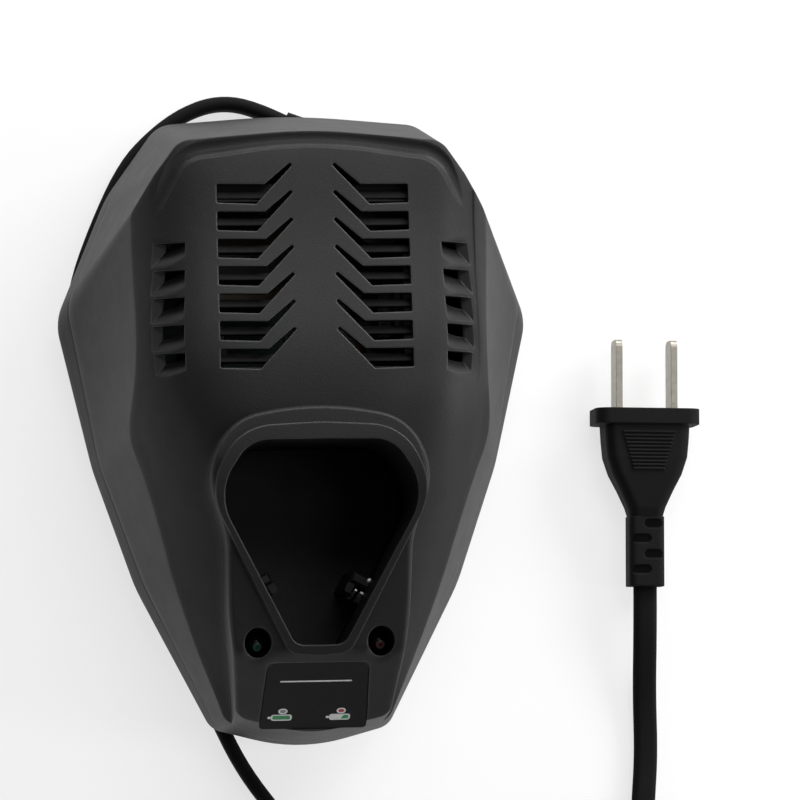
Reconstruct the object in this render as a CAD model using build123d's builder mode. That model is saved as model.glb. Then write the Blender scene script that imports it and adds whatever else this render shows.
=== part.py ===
from build123d import *
import os
from math import atan2, cos, degrees, hypot, pi, radians, sin, sqrt, tan

os.makedirs("parts", exist_ok=True)

# Charger for stick batteries that push down into a well. Millimetres, +Z up, +Y towards the rear.
# The origin is on the surface the charger stands on, under the middle of its body.

# Heights of the body
underside_z = 2.0
widest_z = 11.0
parting_z = 17.5
brow_z = 58.0
flank_top_z = 60.0
body_limit_z = 66.0
base_taper = 10.5
shell_wall = 2.2
deck_wall = 2.3
smallest_radius = 0.8

# One side of the body in plan, from the middle of the rear to the middle of the front:
# corner x, corner y and corner radius, at the widest level and at the level of the brow
widest_half = [
    (0.0, 71.2, 150.0),
    (29.8, 68.8, 7.0),
    (41.6, 52.3, 25.0),
    (53.2, 24.4, 12.0),
    (45.4, -8.8, 40.0),
    (36.2, -35.3, 40.0),
    (19.9, -66.8, 5.0),
    (0.0, -72.1, 40.0),
]
brow_half = [
    (0.0, 60.2, 100.0),
    (28.1, 57.8, 5.0),
    (33.0, 50.8, 10.0),
    (36.0, 45.8, 2.5),
    (36.9, -1.8, 25.0),
    (24.7, -31.9, 40.0),
    (14.6, -63.3, 4.0),
    (0.0, -65.9, 20.0),
]

# Crown of the top cover: station y, height on the centre line, half width at the shoulder crease,
# drop to that crease, and how squarely the section turns down
crown_stations = [
    (78.0, 57.6, 39.0, 7.6, 5.5),
    (58.0, 58.6, 39.0, 7.8, 5.5),
    (46.0, 59.5, 39.0, 8.6, 5.5),
    (27.0, 61.5, 39.0, 10.6, 5.5),
    (8.0, 63.4, 39.0, 12.8, 5.2),
    (-9.0, 61.0, 37.0, 16.0, 4.0),
    (-27.0, 54.0, 33.5, 17.0, 2.8),
    (-43.0, 47.0, 28.0, 14.7, 2.4),
    (-59.0, 38.5, 23.0, 10.5, 2.2),
    (-80.0, 27.0, 18.0, 5.0, 2.0),
]
crown_reach = 30.0

# Valley along the inside of the brow: a groove whose route lies in a plane that leans forwards,
# so that it fades out on the shoulders
valley_radius = 2.6
valley_middle = (58.2, 57.8)
valley_lean = 8.6
valley_half = [
    (0.0, 59.3, 100.0),
    (28.3, 55.3, 9.0),
    (34.9, 42.0, 0.0),
]

# Raised apron round the battery well, in plan and in side view
apron_half = [
    (0.0, 1.5, 60.0),
    (18.9, -2.3, 12.0),
    (24.1, -13.6, 13.0),
    (19.7, -27.4, 18.0),
    (19.3, -43.0, 60.0),
    (16.2, -69.0, 2.0),
    (0.0, -76.0, 2.0),
]
apron_rear_z = 66.2
apron_front_z = 56.4
apron_slope_y = (-12.0, -51.0)
label_foot = (-68.2, 37.4)
apron_round = 1.2
apron_wall = 3.2

# Rolled rim of the well
rim_half = [
    (0.0, -3.3, 60.0),
    (17.1, -4.2, 11.5),
    (23.8, -17.2, 12.5),
    (6.4, -51.4, 3.6),
    (0.0, -51.9, 5.0),
]
rim_rear_z = 68.8

# Mouth of the well in plan
mouth_half = [
    (0.0, -6.9, 200.0),
    (15.0, -7.0, 7.5),
    (22.2, -17.8, 11.0),
    (5.2, -49.6, 3.0),
    (0.0, -49.7, 50.0),
]

# Well liner
collar_wall = 1.3
collar_foot_z = 43.0
liner_clearance = 0.15
liner_wall = 1.6
liner_top_z = 45.3
liner_floor_z = 19.2
liner_floor = 1.8
liner_ear = (26.3, -17.0)
liner_ear_radius = 3.2
liner_ear_top_z = 44.0
liner_ear_thickness = 1.8
liner_boss_radius = 2.4

# Chevron vents: corners of the first left slot with its blunt tip, and the pitch down the deck
vent_corners = [(-20.5, 48.3), (-10.3, 48.2), (-4.8, 52.9), (-4.2, 52.4), (-12.1, 43.9), (-20.5, 44.2)]
vent_count = 7
vent_pitch = 5.93
vent_round = 0.35

# Gill vents on the shoulders
gill_count = 5
gill_pitch = 5.93
gill_first_y = 33.2
gill_centre_x = 31.4
gill_first_z = 58.1
gill_step_z = 0.4
gill_tilt = 37.0
gill_width = 7.6
gill_length = 5.2
gill_depth = 3.4
gill_point = 0.42

# Vent baffle
baffle_thickness = 1.4
baffle_drop = 5.0
baffle_post_radius = 2.0
baffle_stake_radius = 1.1
baffle_stake_length = 1.0
baffle_posts = [(23.1, 17.0), (23.1, -17.0)]
baffle_size = (50.0, 44.0)
baffle_rail = 4.0
slat_tip_x = 8.0
slat_first_y = 46.4
slat_width = 1.6
slat_rise = 0.6

# Contact carriers and contacts in the well: length along the wall, width, height
carrier_size = (2.6, 5.4, 22.6)
carrier_chamfer = 0.6
carrier_distance = 15.9
carrier_lip = 2.4
carrier_lip_wall = 1.6
carrier_lip_round = 0.7
carrier_lip_drop = 0.8
contact_travel_gap = 0.9
contact_thickness = 0.4
contact_wall_gap = 0.4
contact_bow = 1.7
contact_bow_half = 5.6
contact_low_z = 19.5
contact_bow_z = 35.0
contact_high_z = 41.6
contact_fingers = [(0.0, 0.75), (0.95, 1.7), (2.5, 3.0)]

# Lamps
lamp_x = 13.1
lamp_y = -49.0
lamp_hole_radius = 2.9
lamp_hole_stretch = 1.1
lamp_tube_radius = 3.75
lamp_tube_foot_z = 46.5
lamp_radius = 2.5
lamp_flange_radius = 2.7
lamp_length = 8.6
lamp_leg_x = 1.27
lamp_leg_width = 0.5
lamp_leg_past = 1.5
lamp_leg_hole_radius = 0.5
lamp_board_z = 42.6
lamp_board_thickness = 1.4
lamp_board_y = (-58.0, -45.4)
lamp_board_gap = 0.5
lamp_board_post = (11.5, -55.2)
lamp_board_post_radius = 2.0

# Label plate in its recess on the apron's front slope
label_centre_y = -60.35
label_top_width = 21.8
label_foot_width = 23.6
label_length = 21.0
label_recess = 0.7
label_thickness = 0.5
label_clearance = 0.15

# Screws
housing_screw_places = [(37.5, 22.0, 56.0), (17.0, -43.0, 40.0)]
housing_boss_radius = 3.6
housing_boss_joint_z = 14.0
screw_shank_radius = 1.4
screw_head_radius = 2.7
screw_head_height = 1.9
screw_pilot_radius = 1.45
screw_length = 17.0
screw_hole_radius = 1.6
screw_counterbore_z = 6.0
pilot_depth = 13.0
small_head_radius = 2.0
small_head_height = 1.4
small_shank_radius = 1.0
small_pilot_radius = 1.05
small_hole_radius = 1.2
well_screw_length = 4.4
lamp_screw_length = 4.6
board_screw_length = 6.0

# Feet
foot_places = [(26.0, 44.0), (10.8, -51.5)]
foot_radius = 4.5
foot_recess = 1.0

# Vents in the floor of the base
floor_vent_count = 5
floor_vent_first_y = 16.0
floor_vent_pitch = 5.5
floor_vent_length = 30.0
floor_vent_width = 2.2

# Circuit board
board_size = (62.0, 50.0)
board_centre_y = 31.0
board_z = 10.4
board_thickness = 1.6
board_screw_places = [(28.0, 53.0), (28.0, 9.5)]
board_post_radius = 3.0
transformer_place = (-12.0, 34.0)
core_size = (25.0, 7.0, 20.0)
core_leg = 3.2
core_middle_leg = 6.4
input_capacitor_place = (17.0, 45.5)
output_capacitor_place = (-21.0, 16.0)
bridge_place = (2.0, 51.5)
heat_sink_place = (22.6, 24.0)
fuse_place = (-15.0, 51.0)
choke_place = (7.6, 15.5)
chip_place = (10.5, 29.0)
connector_place = (-8.0, 10.0)

# Mains cord: flat twin lead
cord_width = 5.4
cord_thickness = 3.2
cord_corner = 1.0
cord_floor_gap = 0.05
relief_root = (17.6, 62.2, 4.2)
relief_direction = (-0.9, 0.4359)
relief_length = 20.0
relief_root_size = (8.4, 7.2)
relief_tip_size = (4.4, 6.0)
relief_tip_z = 3.0
relief_pocket_width = 9.2
relief_pocket_top_z = 8.4
relief_pocket_length = 13.0
relief_neck_width = 3.6
relief_neck_foot_z = 6.0
relief_neck_length = 5.0
relief_neck_top_z = 9.4
relief_flange = (6.4, 2.0)
relief_flange_shift = 1.5
relief_flange_top_z = 10.0
cheek_top_z = 10.2
relief_groove_count = 5
relief_groove_first = 4.0
relief_groove_pitch = 2.8
relief_groove_width = 1.1
relief_groove_depth = 3.4

# Route of the cord along the left side to the coil, in plan
cord_first_run = 8.0
cord_points = [
    (-15.5, 75.4),
    (-23.5, 73.7),
    (-30.9, 69.3),
    (-37.2, 61.6),
    (-43.6, 46.4),
    (-48.6, 32.5),
    (-49.2, 18.5),
    (-45.9, 4.0),
    (-41.7, -10.0),
    (-36.9, -24.0),
    (-31.2, -37.5),
    (-25.0, -50.5),
    (-18.4, -63.0),
    (-12.6, -75.5),
    (-4.2, -86.8),
    (3.6, -96.0),
    (9.2, -105.6),
]
coil_lead_in = 9.0

# Route from the coil to the plug, and the length over which the cord turns from on edge to flat
cord_turnover = 7.0
plug_points = [
    (76.9, -107.5, 8.3),
    (77.6, -96.5, 6.0),
    (78.8, -85.5, 3.4),
    (80.1, -74.5, 1.9),
    (79.9, -60.5, 2.5),
]
plug_last_run = 10.0

# Coil of the length that is put away
coil_centre = (44.5, -124.5)
coil_outer_radius = 32.4
coil_pitch = 3.8
coil_layer_rise = 5.9
coil_half_turns = 4

# Plug with two flat blades at the standard spacing
plug_face = (80.91, 3.82, 6.5)
plug_lean = 1.3
plug_flange = (24.0, 13.0)
plug_flange_length = 3.5
plug_stations = [
    (-3.5, 9.8, 5.6),
    (-7.3, 9.6, 5.5),
    (-11.0, 9.25, 5.4),
    (-14.9, 8.0, 5.1),
    (-18.6, 6.1, 4.7),
    (-22.4, 4.4, 4.2),
    (-24.5, 3.8, 3.6),
]
plug_relief_from = -24.0
plug_relief_to = -40.3
plug_relief_half = (3.8, 3.3)
plug_notches = [(-28.4, 1), (-30.9, -1), (-33.4, 1), (-35.9, -1)]
plug_notch_width = 1.2
plug_notch_depth = 2.0
plug_rib_count = 11
plug_rib_first = -5.6
plug_rib_last = -13.9
plug_rib_half = (6.0, 3.6)
plug_rib_reach = (5.95, 5.6)
plug_rib_thickness = 0.42
blade_spacing = 12.7
blade_thickness = 1.5
blade_width = 6.35
blade_length = 15.9


# How far a cut runs past what it cuts
through = 1.0

# Solids that stand on the point where they are placed
on_foot = (Align.CENTER, Align.CENTER, Align.MIN)


def all_round(half):
    """Corners of a whole outline, clockwise from above, from the corners of its right side."""
    return half + [(-x, y, radius) for x, y, radius in reversed(half[1:-1])]


def drawn_in(corners, depth):
    """The same outline with every side moved inwards by depth."""
    moved = []
    for i, (x, y, radius) in enumerate(corners):
        here = Vector(x, y)
        before = Vector(*corners[i - 1][:2])
        after = Vector(*corners[(i + 1) % len(corners)][:2])
        arriving = (here - before).normalized()
        leaving = (after - here).normalized()
        inwards_a = Vector(arriving.Y, -arriving.X)
        inwards_b = Vector(leaving.Y, -leaving.X)
        shift = (inwards_a + inwards_b) * (depth / (1 + inwards_a.dot(inwards_b)))
        moved.append((x + shift.X, y + shift.Y, max(radius - depth, smallest_radius)))
    return moved


def body_corners(z):
    """Outline of the body's flanks at height z, between the widest level and the brow."""
    share = (z - widest_z) / (brow_z - widest_z)
    return [
        tuple(low + (high - low) * share for low, high in zip(low_corner, high_corner))
        for low_corner, high_corner in zip(all_round(widest_half), all_round(brow_half))
    ]


def outline_face(corners, z):
    """A face bounded by the filleted outline, at height z."""
    with BuildSketch(Plane.XY.offset(z), mode=Mode.PRIVATE) as sketch:
        with BuildLine():
            FilletPolyline(
                [(x, y) for x, y, radius in corners],
                radius=[radius for x, y, radius in corners],
                close=True,
            )
        make_face()
    return sketch.sketch.face()


def flank_solid(inset, bottom_z):
    """The body's flanks as a solid, drawn in by inset, from bottom_z up past the top cover."""
    with BuildPart() as flanks:
        bottom = outline_face(drawn_in(body_corners(bottom_z), inset), bottom_z)
        top = outline_face(drawn_in(body_corners(flank_top_z), inset), flank_top_z)
        loft([bottom, top], ruled=True)
        extrude(top, amount=body_limit_z - flank_top_z)
    return flanks.part


def crown_height(x, station):
    """Height of the crown's section at x, for a station of the crown."""
    y, centre_z, half_width, drop, squareness = station
    return centre_z - drop * (abs(x) / half_width) ** squareness


def crown_solid(lowered):
    """Everything under the crowned top of the cover, lowered by a wall where wanted."""
    shares = [-1.0, -0.9, -0.78, -0.6, -0.35, 0.0, 0.35, 0.6, 0.78, 0.9, 1.0]
    with BuildPart() as crown:
        for station in crown_stations:
            y, centre_z, half_width, drop, squareness = station
            slope = drop * squareness / half_width
            points = [(half_width * s, crown_height(half_width * s, station) - lowered) for s in shares]
            far = half_width + crown_reach
            far_z = points[-1][1] - slope * crown_reach
            with BuildSketch(Plane.XZ.offset(-y)):
                with BuildLine():
                    Spline(points, tangents=[(1, slope), (1, -slope)])
                    Polyline([points[-1], (far, far_z), (far, -60), (-far, -60), (-far, far_z), points[0]])
                make_face()
        loft()
    return crown.part


def side_profile_solid(points, radii, reach):
    """A side view of heights along y, as a solid across the body down to the floor."""
    with BuildPart() as profile:
        with BuildSketch(Plane.YZ):
            with BuildLine():
                top = FilletPolyline(points, radius=radii)
                Polyline([top @ 1, (points[-1][0], 0), (points[0][0], 0), top @ 0])
            make_face()
        extrude(amount=reach, both=True)
    return profile.part


def apron_profile(lowered):
    """Side view of the apron's top: level behind, falling to the front, then the label's slope."""
    slope_run = apron_slope_y[1] - label_foot[0]
    label_slope = (apron_front_z - label_foot[1]) / slope_run
    beyond = 8.0
    points = [
        (5.0, apron_rear_z - lowered),
        (apron_slope_y[0], apron_rear_z - lowered),
        (apron_slope_y[1], apron_front_z - lowered),
        (label_foot[0] - beyond, label_foot[1] - label_slope * beyond - lowered),
    ]
    return side_profile_solid(points, [45.0, 5.0], 40.0)


def rim_profile():
    """Side view of the rim's top, a little above the apron all along."""
    points = [(5.0, rim_rear_z), (apron_slope_y[0], rim_rear_z), (-62.0, 54.0)]
    return side_profile_solid(points, [45.0], 40.0)


def both_sides(places):
    """Each place together with its mirror image across the middle of the body."""
    return [(side * place[0],) + tuple(place[1:]) for place in places for side in (1, -1)]


def upper_edges(form):
    """Edges where the upward faces of a form meet its walls."""
    tops = form.faces().filter_by(lambda face: face.normal_at(face.center()).Z > 0.3)
    top_edges = [edge for face in tops for edge in face.edges()]
    return form.edges().filter_by(lambda edge: top_edges.count(edge) == 1)


def prism(corners, low, high):
    """A filleted outline as an upright solid between two heights."""
    with BuildPart() as solid:
        extrude(outline_face(corners, low), amount=high - low)
    return solid.part


def valley_groove():
    """Round groove that follows the brow round the rear of the deck and fades out at both ends."""
    middle_y, middle_z = valley_middle
    lean = radians(valley_lean)
    low = Plane(
        origin=(0, middle_y, middle_z + valley_radius),
        x_dir=(1, 0, 0),
        z_dir=(0, -sin(lean), cos(lean)),
    )
    corners = [(-x, y, radius) for x, y, radius in reversed(valley_half[1:])] + valley_half
    with BuildPart() as groove:
        with BuildLine(low) as route:
            FilletPolyline(
                [(x, y - middle_y) for x, y, radius in corners],
                radius=[radius for x, y, radius in corners[1:-1]],
            )
        with BuildSketch(Plane(origin=route.wire() @ 0, z_dir=route.wire() % 0)):
            Circle(valley_radius)
        sweep()
    return groove.part


def screw(head_radius, head_height, shank_radius, shank_length):
    """A pan-head screw pointing up, with the underside of its head at z 0 and a cross recess."""
    with BuildPart(mode=Mode.PRIVATE) as fastener:
        Cylinder(shank_radius, shank_length, align=on_foot)
        with Locations((0, 0, -head_height)):
            Cylinder(head_radius, head_height, align=on_foot)
            for turn in (0, 90):
                with Locations(Location((0, 0, 0), (0, 0, turn))):
                    Box(head_radius * 1.1, head_radius * 0.26, head_height, mode=Mode.SUBTRACT)
        chamfer(fastener.edges().group_by(Axis.Z)[-1], shank_radius * 0.45)
    return fastener.part


# Top cover: outer form first
with BuildPart() as apron_form:
    add(prism(all_round(apron_half), 0, 80))
    add(apron_profile(0.0), mode=Mode.INTERSECT)
    fillet(upper_edges(apron_form), apron_round)
    add(flank_solid(0.0, parting_z), mode=Mode.INTERSECT)

with BuildPart() as rim_form:
    add(prism(all_round(rim_half), parting_z, 80))
    add(rim_profile(), mode=Mode.INTERSECT)
    add(prism(all_round(mouth_half), parting_z, 80), mode=Mode.SUBTRACT)

with BuildPart() as cover_form:
    add(flank_solid(0.0, parting_z))
    add(crown_solid(0.0), mode=Mode.INTERSECT)
    add(valley_groove(), mode=Mode.SUBTRACT)
    add(apron_form.part)
    add(rim_form.part)

# The hollow inside the cover
with BuildPart() as cover_hollow:
    add(flank_solid(shell_wall, parting_z - 1))
    add(crown_solid(deck_wall), mode=Mode.INTERSECT)

with BuildPart() as apron_hollow:
    add(prism(drawn_in(all_round(apron_half), shell_wall), parting_z - 1, 80))
    add(apron_profile(apron_wall), mode=Mode.INTERSECT)
    add(flank_solid(shell_wall, parting_z - 1), mode=Mode.INTERSECT)

# Plane under the deck on which the vent baffle is fixed
deck_rise = crown_stations[4][1] - crown_stations[2][1]
deck_run = crown_stations[2][0] - crown_stations[4][0]
deck_lean = degrees(atan2(deck_rise, deck_run))
deck_middle_y = (crown_stations[2][0] + crown_stations[4][0]) / 2
deck_middle_z = (crown_stations[2][1] + crown_stations[4][1]) / 2
baffle_plane = Plane(
    origin=(0, deck_middle_y, deck_middle_z - baffle_drop),
    x_dir=(1, 0, 0),
    z_dir=(0, sin(radians(deck_lean)), cos(radians(deck_lean))),
)

# Fittings inside the cover, before they are trimmed to its outer form
with BuildPart() as cover_fittings:
    for x, y, top in both_sides(housing_screw_places):
        with Locations((x, y, housing_boss_joint_z)):
            Cylinder(housing_boss_radius, top - housing_boss_joint_z, align=on_foot)
    for x, y in both_sides([liner_ear]):
        with Locations((x, y, liner_ear_top_z)):
            Cylinder(liner_boss_radius, 14, align=on_foot)
    for x, y in both_sides([lamp_board_post]):
        with Locations((x, y, lamp_board_z + lamp_board_thickness)):
            Cylinder(lamp_board_post_radius, 14, align=on_foot)
    for x, y in both_sides([(lamp_x, lamp_y)]):
        with Locations((x, y, lamp_tube_foot_z)):
            Cylinder(lamp_tube_radius, 14, align=on_foot)
    add(prism(drawn_in(all_round(mouth_half), -collar_wall), collar_foot_z, 70))
    for x, y in both_sides(baffle_posts):
        with Locations(baffle_plane * Pos(x, y, baffle_thickness / 2)):
            Cylinder(baffle_post_radius, 8, align=on_foot)
        with Locations(baffle_plane * Pos(x, y, -baffle_thickness / 2 - baffle_stake_length)):
            Cylinder(baffle_stake_radius, 6, align=on_foot)
    add(cover_form.part, mode=Mode.INTERSECT)

# One chevron slot on the left, and one gill on the right, as the bodies that cut them
with BuildPart() as slot_cutter:
    with BuildSketch(Plane.XY.offset(50)) as slot_sketch:
        Polygon(*vent_corners, align=None)
        fillet(slot_sketch.vertices(), vent_round)
    extrude(amount=20)

gill_plane = Plane(
    origin=(gill_centre_x, 0, 0),
    x_dir=(cos(radians(gill_tilt)), 0, -sin(radians(gill_tilt))),
    z_dir=(sin(radians(gill_tilt)), 0, cos(radians(gill_tilt))),
)
half_gill = gill_width / 2
with BuildPart(gill_plane) as gill_cutter:
    with BuildSketch(gill_plane * Plane.XZ):
        with BuildLine():
            Polyline(
                (-half_gill, 3.0),
                (half_gill, 3.0),
                (half_gill, 0.0),
                (half_gill - gill_width * gill_point, -gill_depth),
                (-half_gill, -gill_depth),
                close=True,
            )
        make_face()
    extrude(amount=gill_length / 2, both=True)
    with BuildSketch(gill_plane * Plane.YZ):
        with BuildLine():
            Polyline(
                (-gill_length / 2, 3.0),
                (gill_length / 2, 3.0),
                (gill_length / 2, -gill_depth),
                (-gill_length / 2, 0.0),
                close=True,
            )
        make_face()
    extrude(amount=gill_width, both=True, mode=Mode.INTERSECT)

# Plane of the label on the apron's front slope
front_slope = (apron_front_z - label_foot[1]) / (apron_slope_y[1] - label_foot[0])
label_lean = atan2(front_slope, 1.0)
label_plane = Plane(
    origin=(0, label_centre_y, apron_front_z + (label_centre_y - apron_slope_y[1]) * front_slope),
    x_dir=(1, 0, 0),
    z_dir=(0, -sin(label_lean), cos(label_lean)),
)


def label_outline(clearance):
    """The label's tapered outline, drawn in by a clearance, with small round corners."""
    half = label_length / 2 - clearance
    top = label_top_width / 2 - clearance
    foot = label_foot_width / 2 - clearance
    with BuildSketch(mode=Mode.PRIVATE) as sketch:
        Polygon((-foot, -half), (foot, -half), (top, half), (-top, half), align=None)
        fillet(sketch.vertices(), 1.0)
    return sketch.sketch


# Everything that is cut through the cover, gathered so that one cut makes all of it
with BuildPart() as cover_cuts:
    for row in range(vent_count):
        add(slot_cutter.part.moved(Pos(0, -row * vent_pitch, 0)))
    for row in range(gill_count):
        add(gill_cutter.part.moved(Pos(0, gill_first_y - row * gill_pitch, gill_first_z + row * gill_step_z)))
    mirror(about=Plane.YZ)
    add(prism(all_round(mouth_half), parting_z, 80))
    with BuildSketch(Plane.XY.offset(lamp_tube_foot_z)):
        with Locations(*both_sides([(lamp_x, lamp_y)])):
            Ellipse(lamp_hole_radius, lamp_hole_radius * lamp_hole_stretch)
    extrude(amount=20)
    with BuildSketch(label_plane):
        add(label_outline(0.0))
    extrude(amount=label_recess, both=True)
    for x, y, top in both_sides(housing_screw_places):
        with Locations((x, y, housing_boss_joint_z)):
            Cylinder(screw_pilot_radius, pilot_depth, align=on_foot)
    for x, y in both_sides([liner_ear]):
        with Locations((x, y, liner_ear_top_z)):
            Cylinder(small_pilot_radius, 3, align=on_foot)
    for x, y in both_sides([lamp_board_post]):
        with Locations((x, y, lamp_board_z + lamp_board_thickness)):
            Cylinder(small_pilot_radius, 4, align=on_foot)

with BuildPart() as top_housing:
    add(cover_form.part)
    add([cover_hollow.part, apron_hollow.part], mode=Mode.SUBTRACT)
    add(cover_fittings.part)
    add(cover_cuts.part, mode=Mode.SUBTRACT)
top_housing.part.label = "top_housing"
export_step(top_housing.part, "parts/top_housing.step")

# Bottom housing: tapered base, open inside, with posts, bosses, foot seats and the cord entry
def base_form(inset, bottom_z, level_share):
    """The tapered base drawn in by inset; level_share sets how far its bottom lies up the taper."""
    depth = base_taper * (1 - level_share) + inset * 1.5
    bottom = outline_face(drawn_in(all_round(widest_half), depth), bottom_z)
    with BuildPart() as base:
        loft([bottom, outline_face(drawn_in(all_round(widest_half), inset), widest_z)], ruled=True)
        add(flank_solid(inset, widest_z))
        split(bisect_by=Plane.XY.offset(parting_z), keep=Keep.BOTTOM)
    return base.part


relief_out = Vector(*relief_direction, 0).normalized()
relief_plane = Plane(
    origin=(relief_root[0], relief_root[1], 0),
    x_dir=(-relief_out.Y, relief_out.X, 0),
    z_dir=relief_out,
)
floor_top_z = underside_z + shell_wall
outer_base = base_form(0.0, underside_z, 0.0)

with BuildPart() as base_fittings:
    for x, y, top in both_sides(housing_screw_places):
        with Locations((x, y, underside_z)):
            Cylinder(housing_boss_radius, housing_boss_joint_z - underside_z, align=on_foot)
    for x, y in both_sides(board_screw_places):
        with Locations((x, y, underside_z)):
            Cylinder(board_post_radius, board_z - underside_z, align=on_foot)
    with BuildSketch(relief_plane.offset(-relief_neck_length)):
        with Locations((0, (underside_z + cheek_top_z) / 2)):
            Rectangle(relief_pocket_width + 2 * shell_wall, cheek_top_z - underside_z)
    extrude(amount=relief_neck_length + relief_pocket_length)
    add(outer_base, mode=Mode.INTERSECT)

with BuildPart() as base_cuts:
    for x, y, top in both_sides(housing_screw_places):
        with Locations((x, y, 0)):
            Cylinder(screw_head_radius + 0.4, screw_counterbore_z, align=on_foot)
            Cylinder(screw_hole_radius, widest_z + 10, align=on_foot)
    for x, y in both_sides(board_screw_places):
        with Locations((x, y, underside_z + 1.2)):
            Cylinder(small_pilot_radius, board_z, align=on_foot)
    for x, y in both_sides(foot_places):
        with Locations((x, y, 0)):
            Cylinder(foot_radius + 0.1, underside_z + foot_recess, align=on_foot)
    for row in range(floor_vent_count):
        with Locations((0, floor_vent_first_y + row * floor_vent_pitch, underside_z)):
            Box(floor_vent_length, floor_vent_width, shell_wall * 3)
    with BuildSketch(relief_plane):
        with Locations((0, relief_pocket_top_z / 2 - 1)):
            Rectangle(relief_pocket_width, relief_pocket_top_z + 2)
    extrude(amount=relief_length + 10)
    with BuildSketch(relief_plane):
        with Locations((0, relief_neck_foot_z - liner_clearance + 10)):
            Rectangle(relief_neck_width + 2 * liner_clearance, 20)
    extrude(amount=-relief_neck_length)
    with BuildSketch(relief_plane.offset(-relief_neck_length)):
        with Locations((relief_flange_shift, relief_neck_foot_z - liner_clearance + 10)):
            Rectangle(relief_flange[0] + 2 * liner_clearance, 20)
    extrude(amount=-relief_flange[1] - 2 * liner_clearance)

with BuildPart() as bottom_housing:
    add(outer_base)
    add(base_form(shell_wall, floor_top_z, shell_wall / (widest_z - underside_z)), mode=Mode.SUBTRACT)
    add(base_fittings.part)
    add(base_cuts.part, mode=Mode.SUBTRACT)
bottom_housing.part.label = "bottom_housing"
export_step(bottom_housing.part, "parts/bottom_housing.step")

# Battery well: a cup that hangs under the mouth, with an ear on each side
liner_inside = drawn_in(all_round(mouth_half), -(collar_wall + liner_clearance))
liner_outside = drawn_in(liner_inside, -liner_wall)
with BuildPart() as battery_well:
    add(prism(liner_outside, liner_floor_z - liner_floor, liner_top_z))
    with BuildSketch(Plane.XY.offset(liner_ear_top_z - liner_ear_thickness)):
        with Locations((0, liner_ear[1])):
            SlotCenterToCenter(2 * liner_ear[0], 2 * liner_ear_radius)
    extrude(amount=liner_ear_thickness)
    add(prism(liner_inside, liner_floor_z, liner_top_z + 1), mode=Mode.SUBTRACT)
    with Locations(*[(x, y, liner_ear_top_z - 5) for x, y in both_sides([liner_ear])]):
        Cylinder(small_hole_radius, 10, align=on_foot, mode=Mode.SUBTRACT)
battery_well.part.label = "battery_well"
export_step(battery_well.part, "parts/battery_well.step")

with BuildPart() as well_screws:
    for x, y in both_sides([liner_ear]):
        fastener = screw(small_head_radius, small_head_height, small_shank_radius, well_screw_length)
        add(fastener.moved(Pos(x, y, liner_ear_top_z - liner_ear_thickness)))
well_screws.part.label = "well_screws"
export_step(well_screws.part, "parts/well_screws.step")

# Vent baffle: a frame under the deck with one slat beneath each chevron slot
slat_root_x = baffle_size[0] / 2 - baffle_rail
with BuildPart() as vent_baffle:
    with BuildSketch(baffle_plane.offset(-baffle_thickness / 2)):
        Rectangle(baffle_size[0], baffle_size[1])
        Rectangle(baffle_size[0] - 2 * baffle_rail, baffle_size[1] - 2 * baffle_rail, mode=Mode.SUBTRACT)
        with Locations(*both_sides(baffle_posts)):
            Circle(baffle_stake_radius + 0.15, mode=Mode.SUBTRACT)
    extrude(amount=baffle_thickness)
    with BuildSketch(baffle_plane.offset(-baffle_thickness / 2)):
        for row in range(vent_count):
            slat_y = slat_first_y - deck_middle_y - row * vent_pitch
            with Locations(*both_sides([((slat_root_x + slat_tip_x) / 2, slat_y)])):
                Rectangle(slat_root_x - slat_tip_x, slat_width)
    extrude(amount=baffle_thickness + slat_rise)
vent_baffle.part.label = "vent_baffle"
export_step(vent_baffle.part, "parts/vent_baffle.step")

# Label plate
with BuildPart() as label_plate:
    with BuildSketch(label_plane.offset(-label_recess)):
        add(label_outline(label_clearance))
    extrude(amount=label_thickness)
label_plate.part.label = "label_plate"
export_step(label_plate.part, "parts/label_plate.step")


def lamp(x):
    """A round lamp with its flange on the lamp board and two legs through it."""
    board_top = lamp_board_z + lamp_board_thickness
    with BuildPart(mode=Mode.PRIVATE) as lens:
        with BuildSketch(Plane.XZ):
            with BuildLine():
                shoulder = lamp_length - lamp_radius
                Line((0, 0), (lamp_flange_radius, 0))
                Line((lamp_flange_radius, 0), (lamp_flange_radius, 1))
                Line((lamp_flange_radius, 1), (lamp_radius, 1))
                Line((lamp_radius, 1), (lamp_radius, shoulder))
                RadiusArc((lamp_radius, shoulder), (0, lamp_length), -lamp_radius)
                Line((0, lamp_length), (0, 0))
            make_face()
        revolve(axis=Axis.Z)
        leg_length = lamp_board_thickness + lamp_leg_past
        with Locations((lamp_leg_x, 0, -leg_length), (-lamp_leg_x, 0, -leg_length)):
            Box(lamp_leg_width, lamp_leg_width, leg_length, align=on_foot)
    return lens.part.moved(Pos(x, lamp_y, board_top))


with BuildPart() as led_green:
    add(lamp(-lamp_x))
led_green.part.label = "led_green"
export_step(led_green.part, "parts/led_green.step")

with BuildPart() as led_red:
    add(lamp(lamp_x))
led_red.part.label = "led_red"
export_step(led_red.part, "parts/led_red.step")

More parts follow.
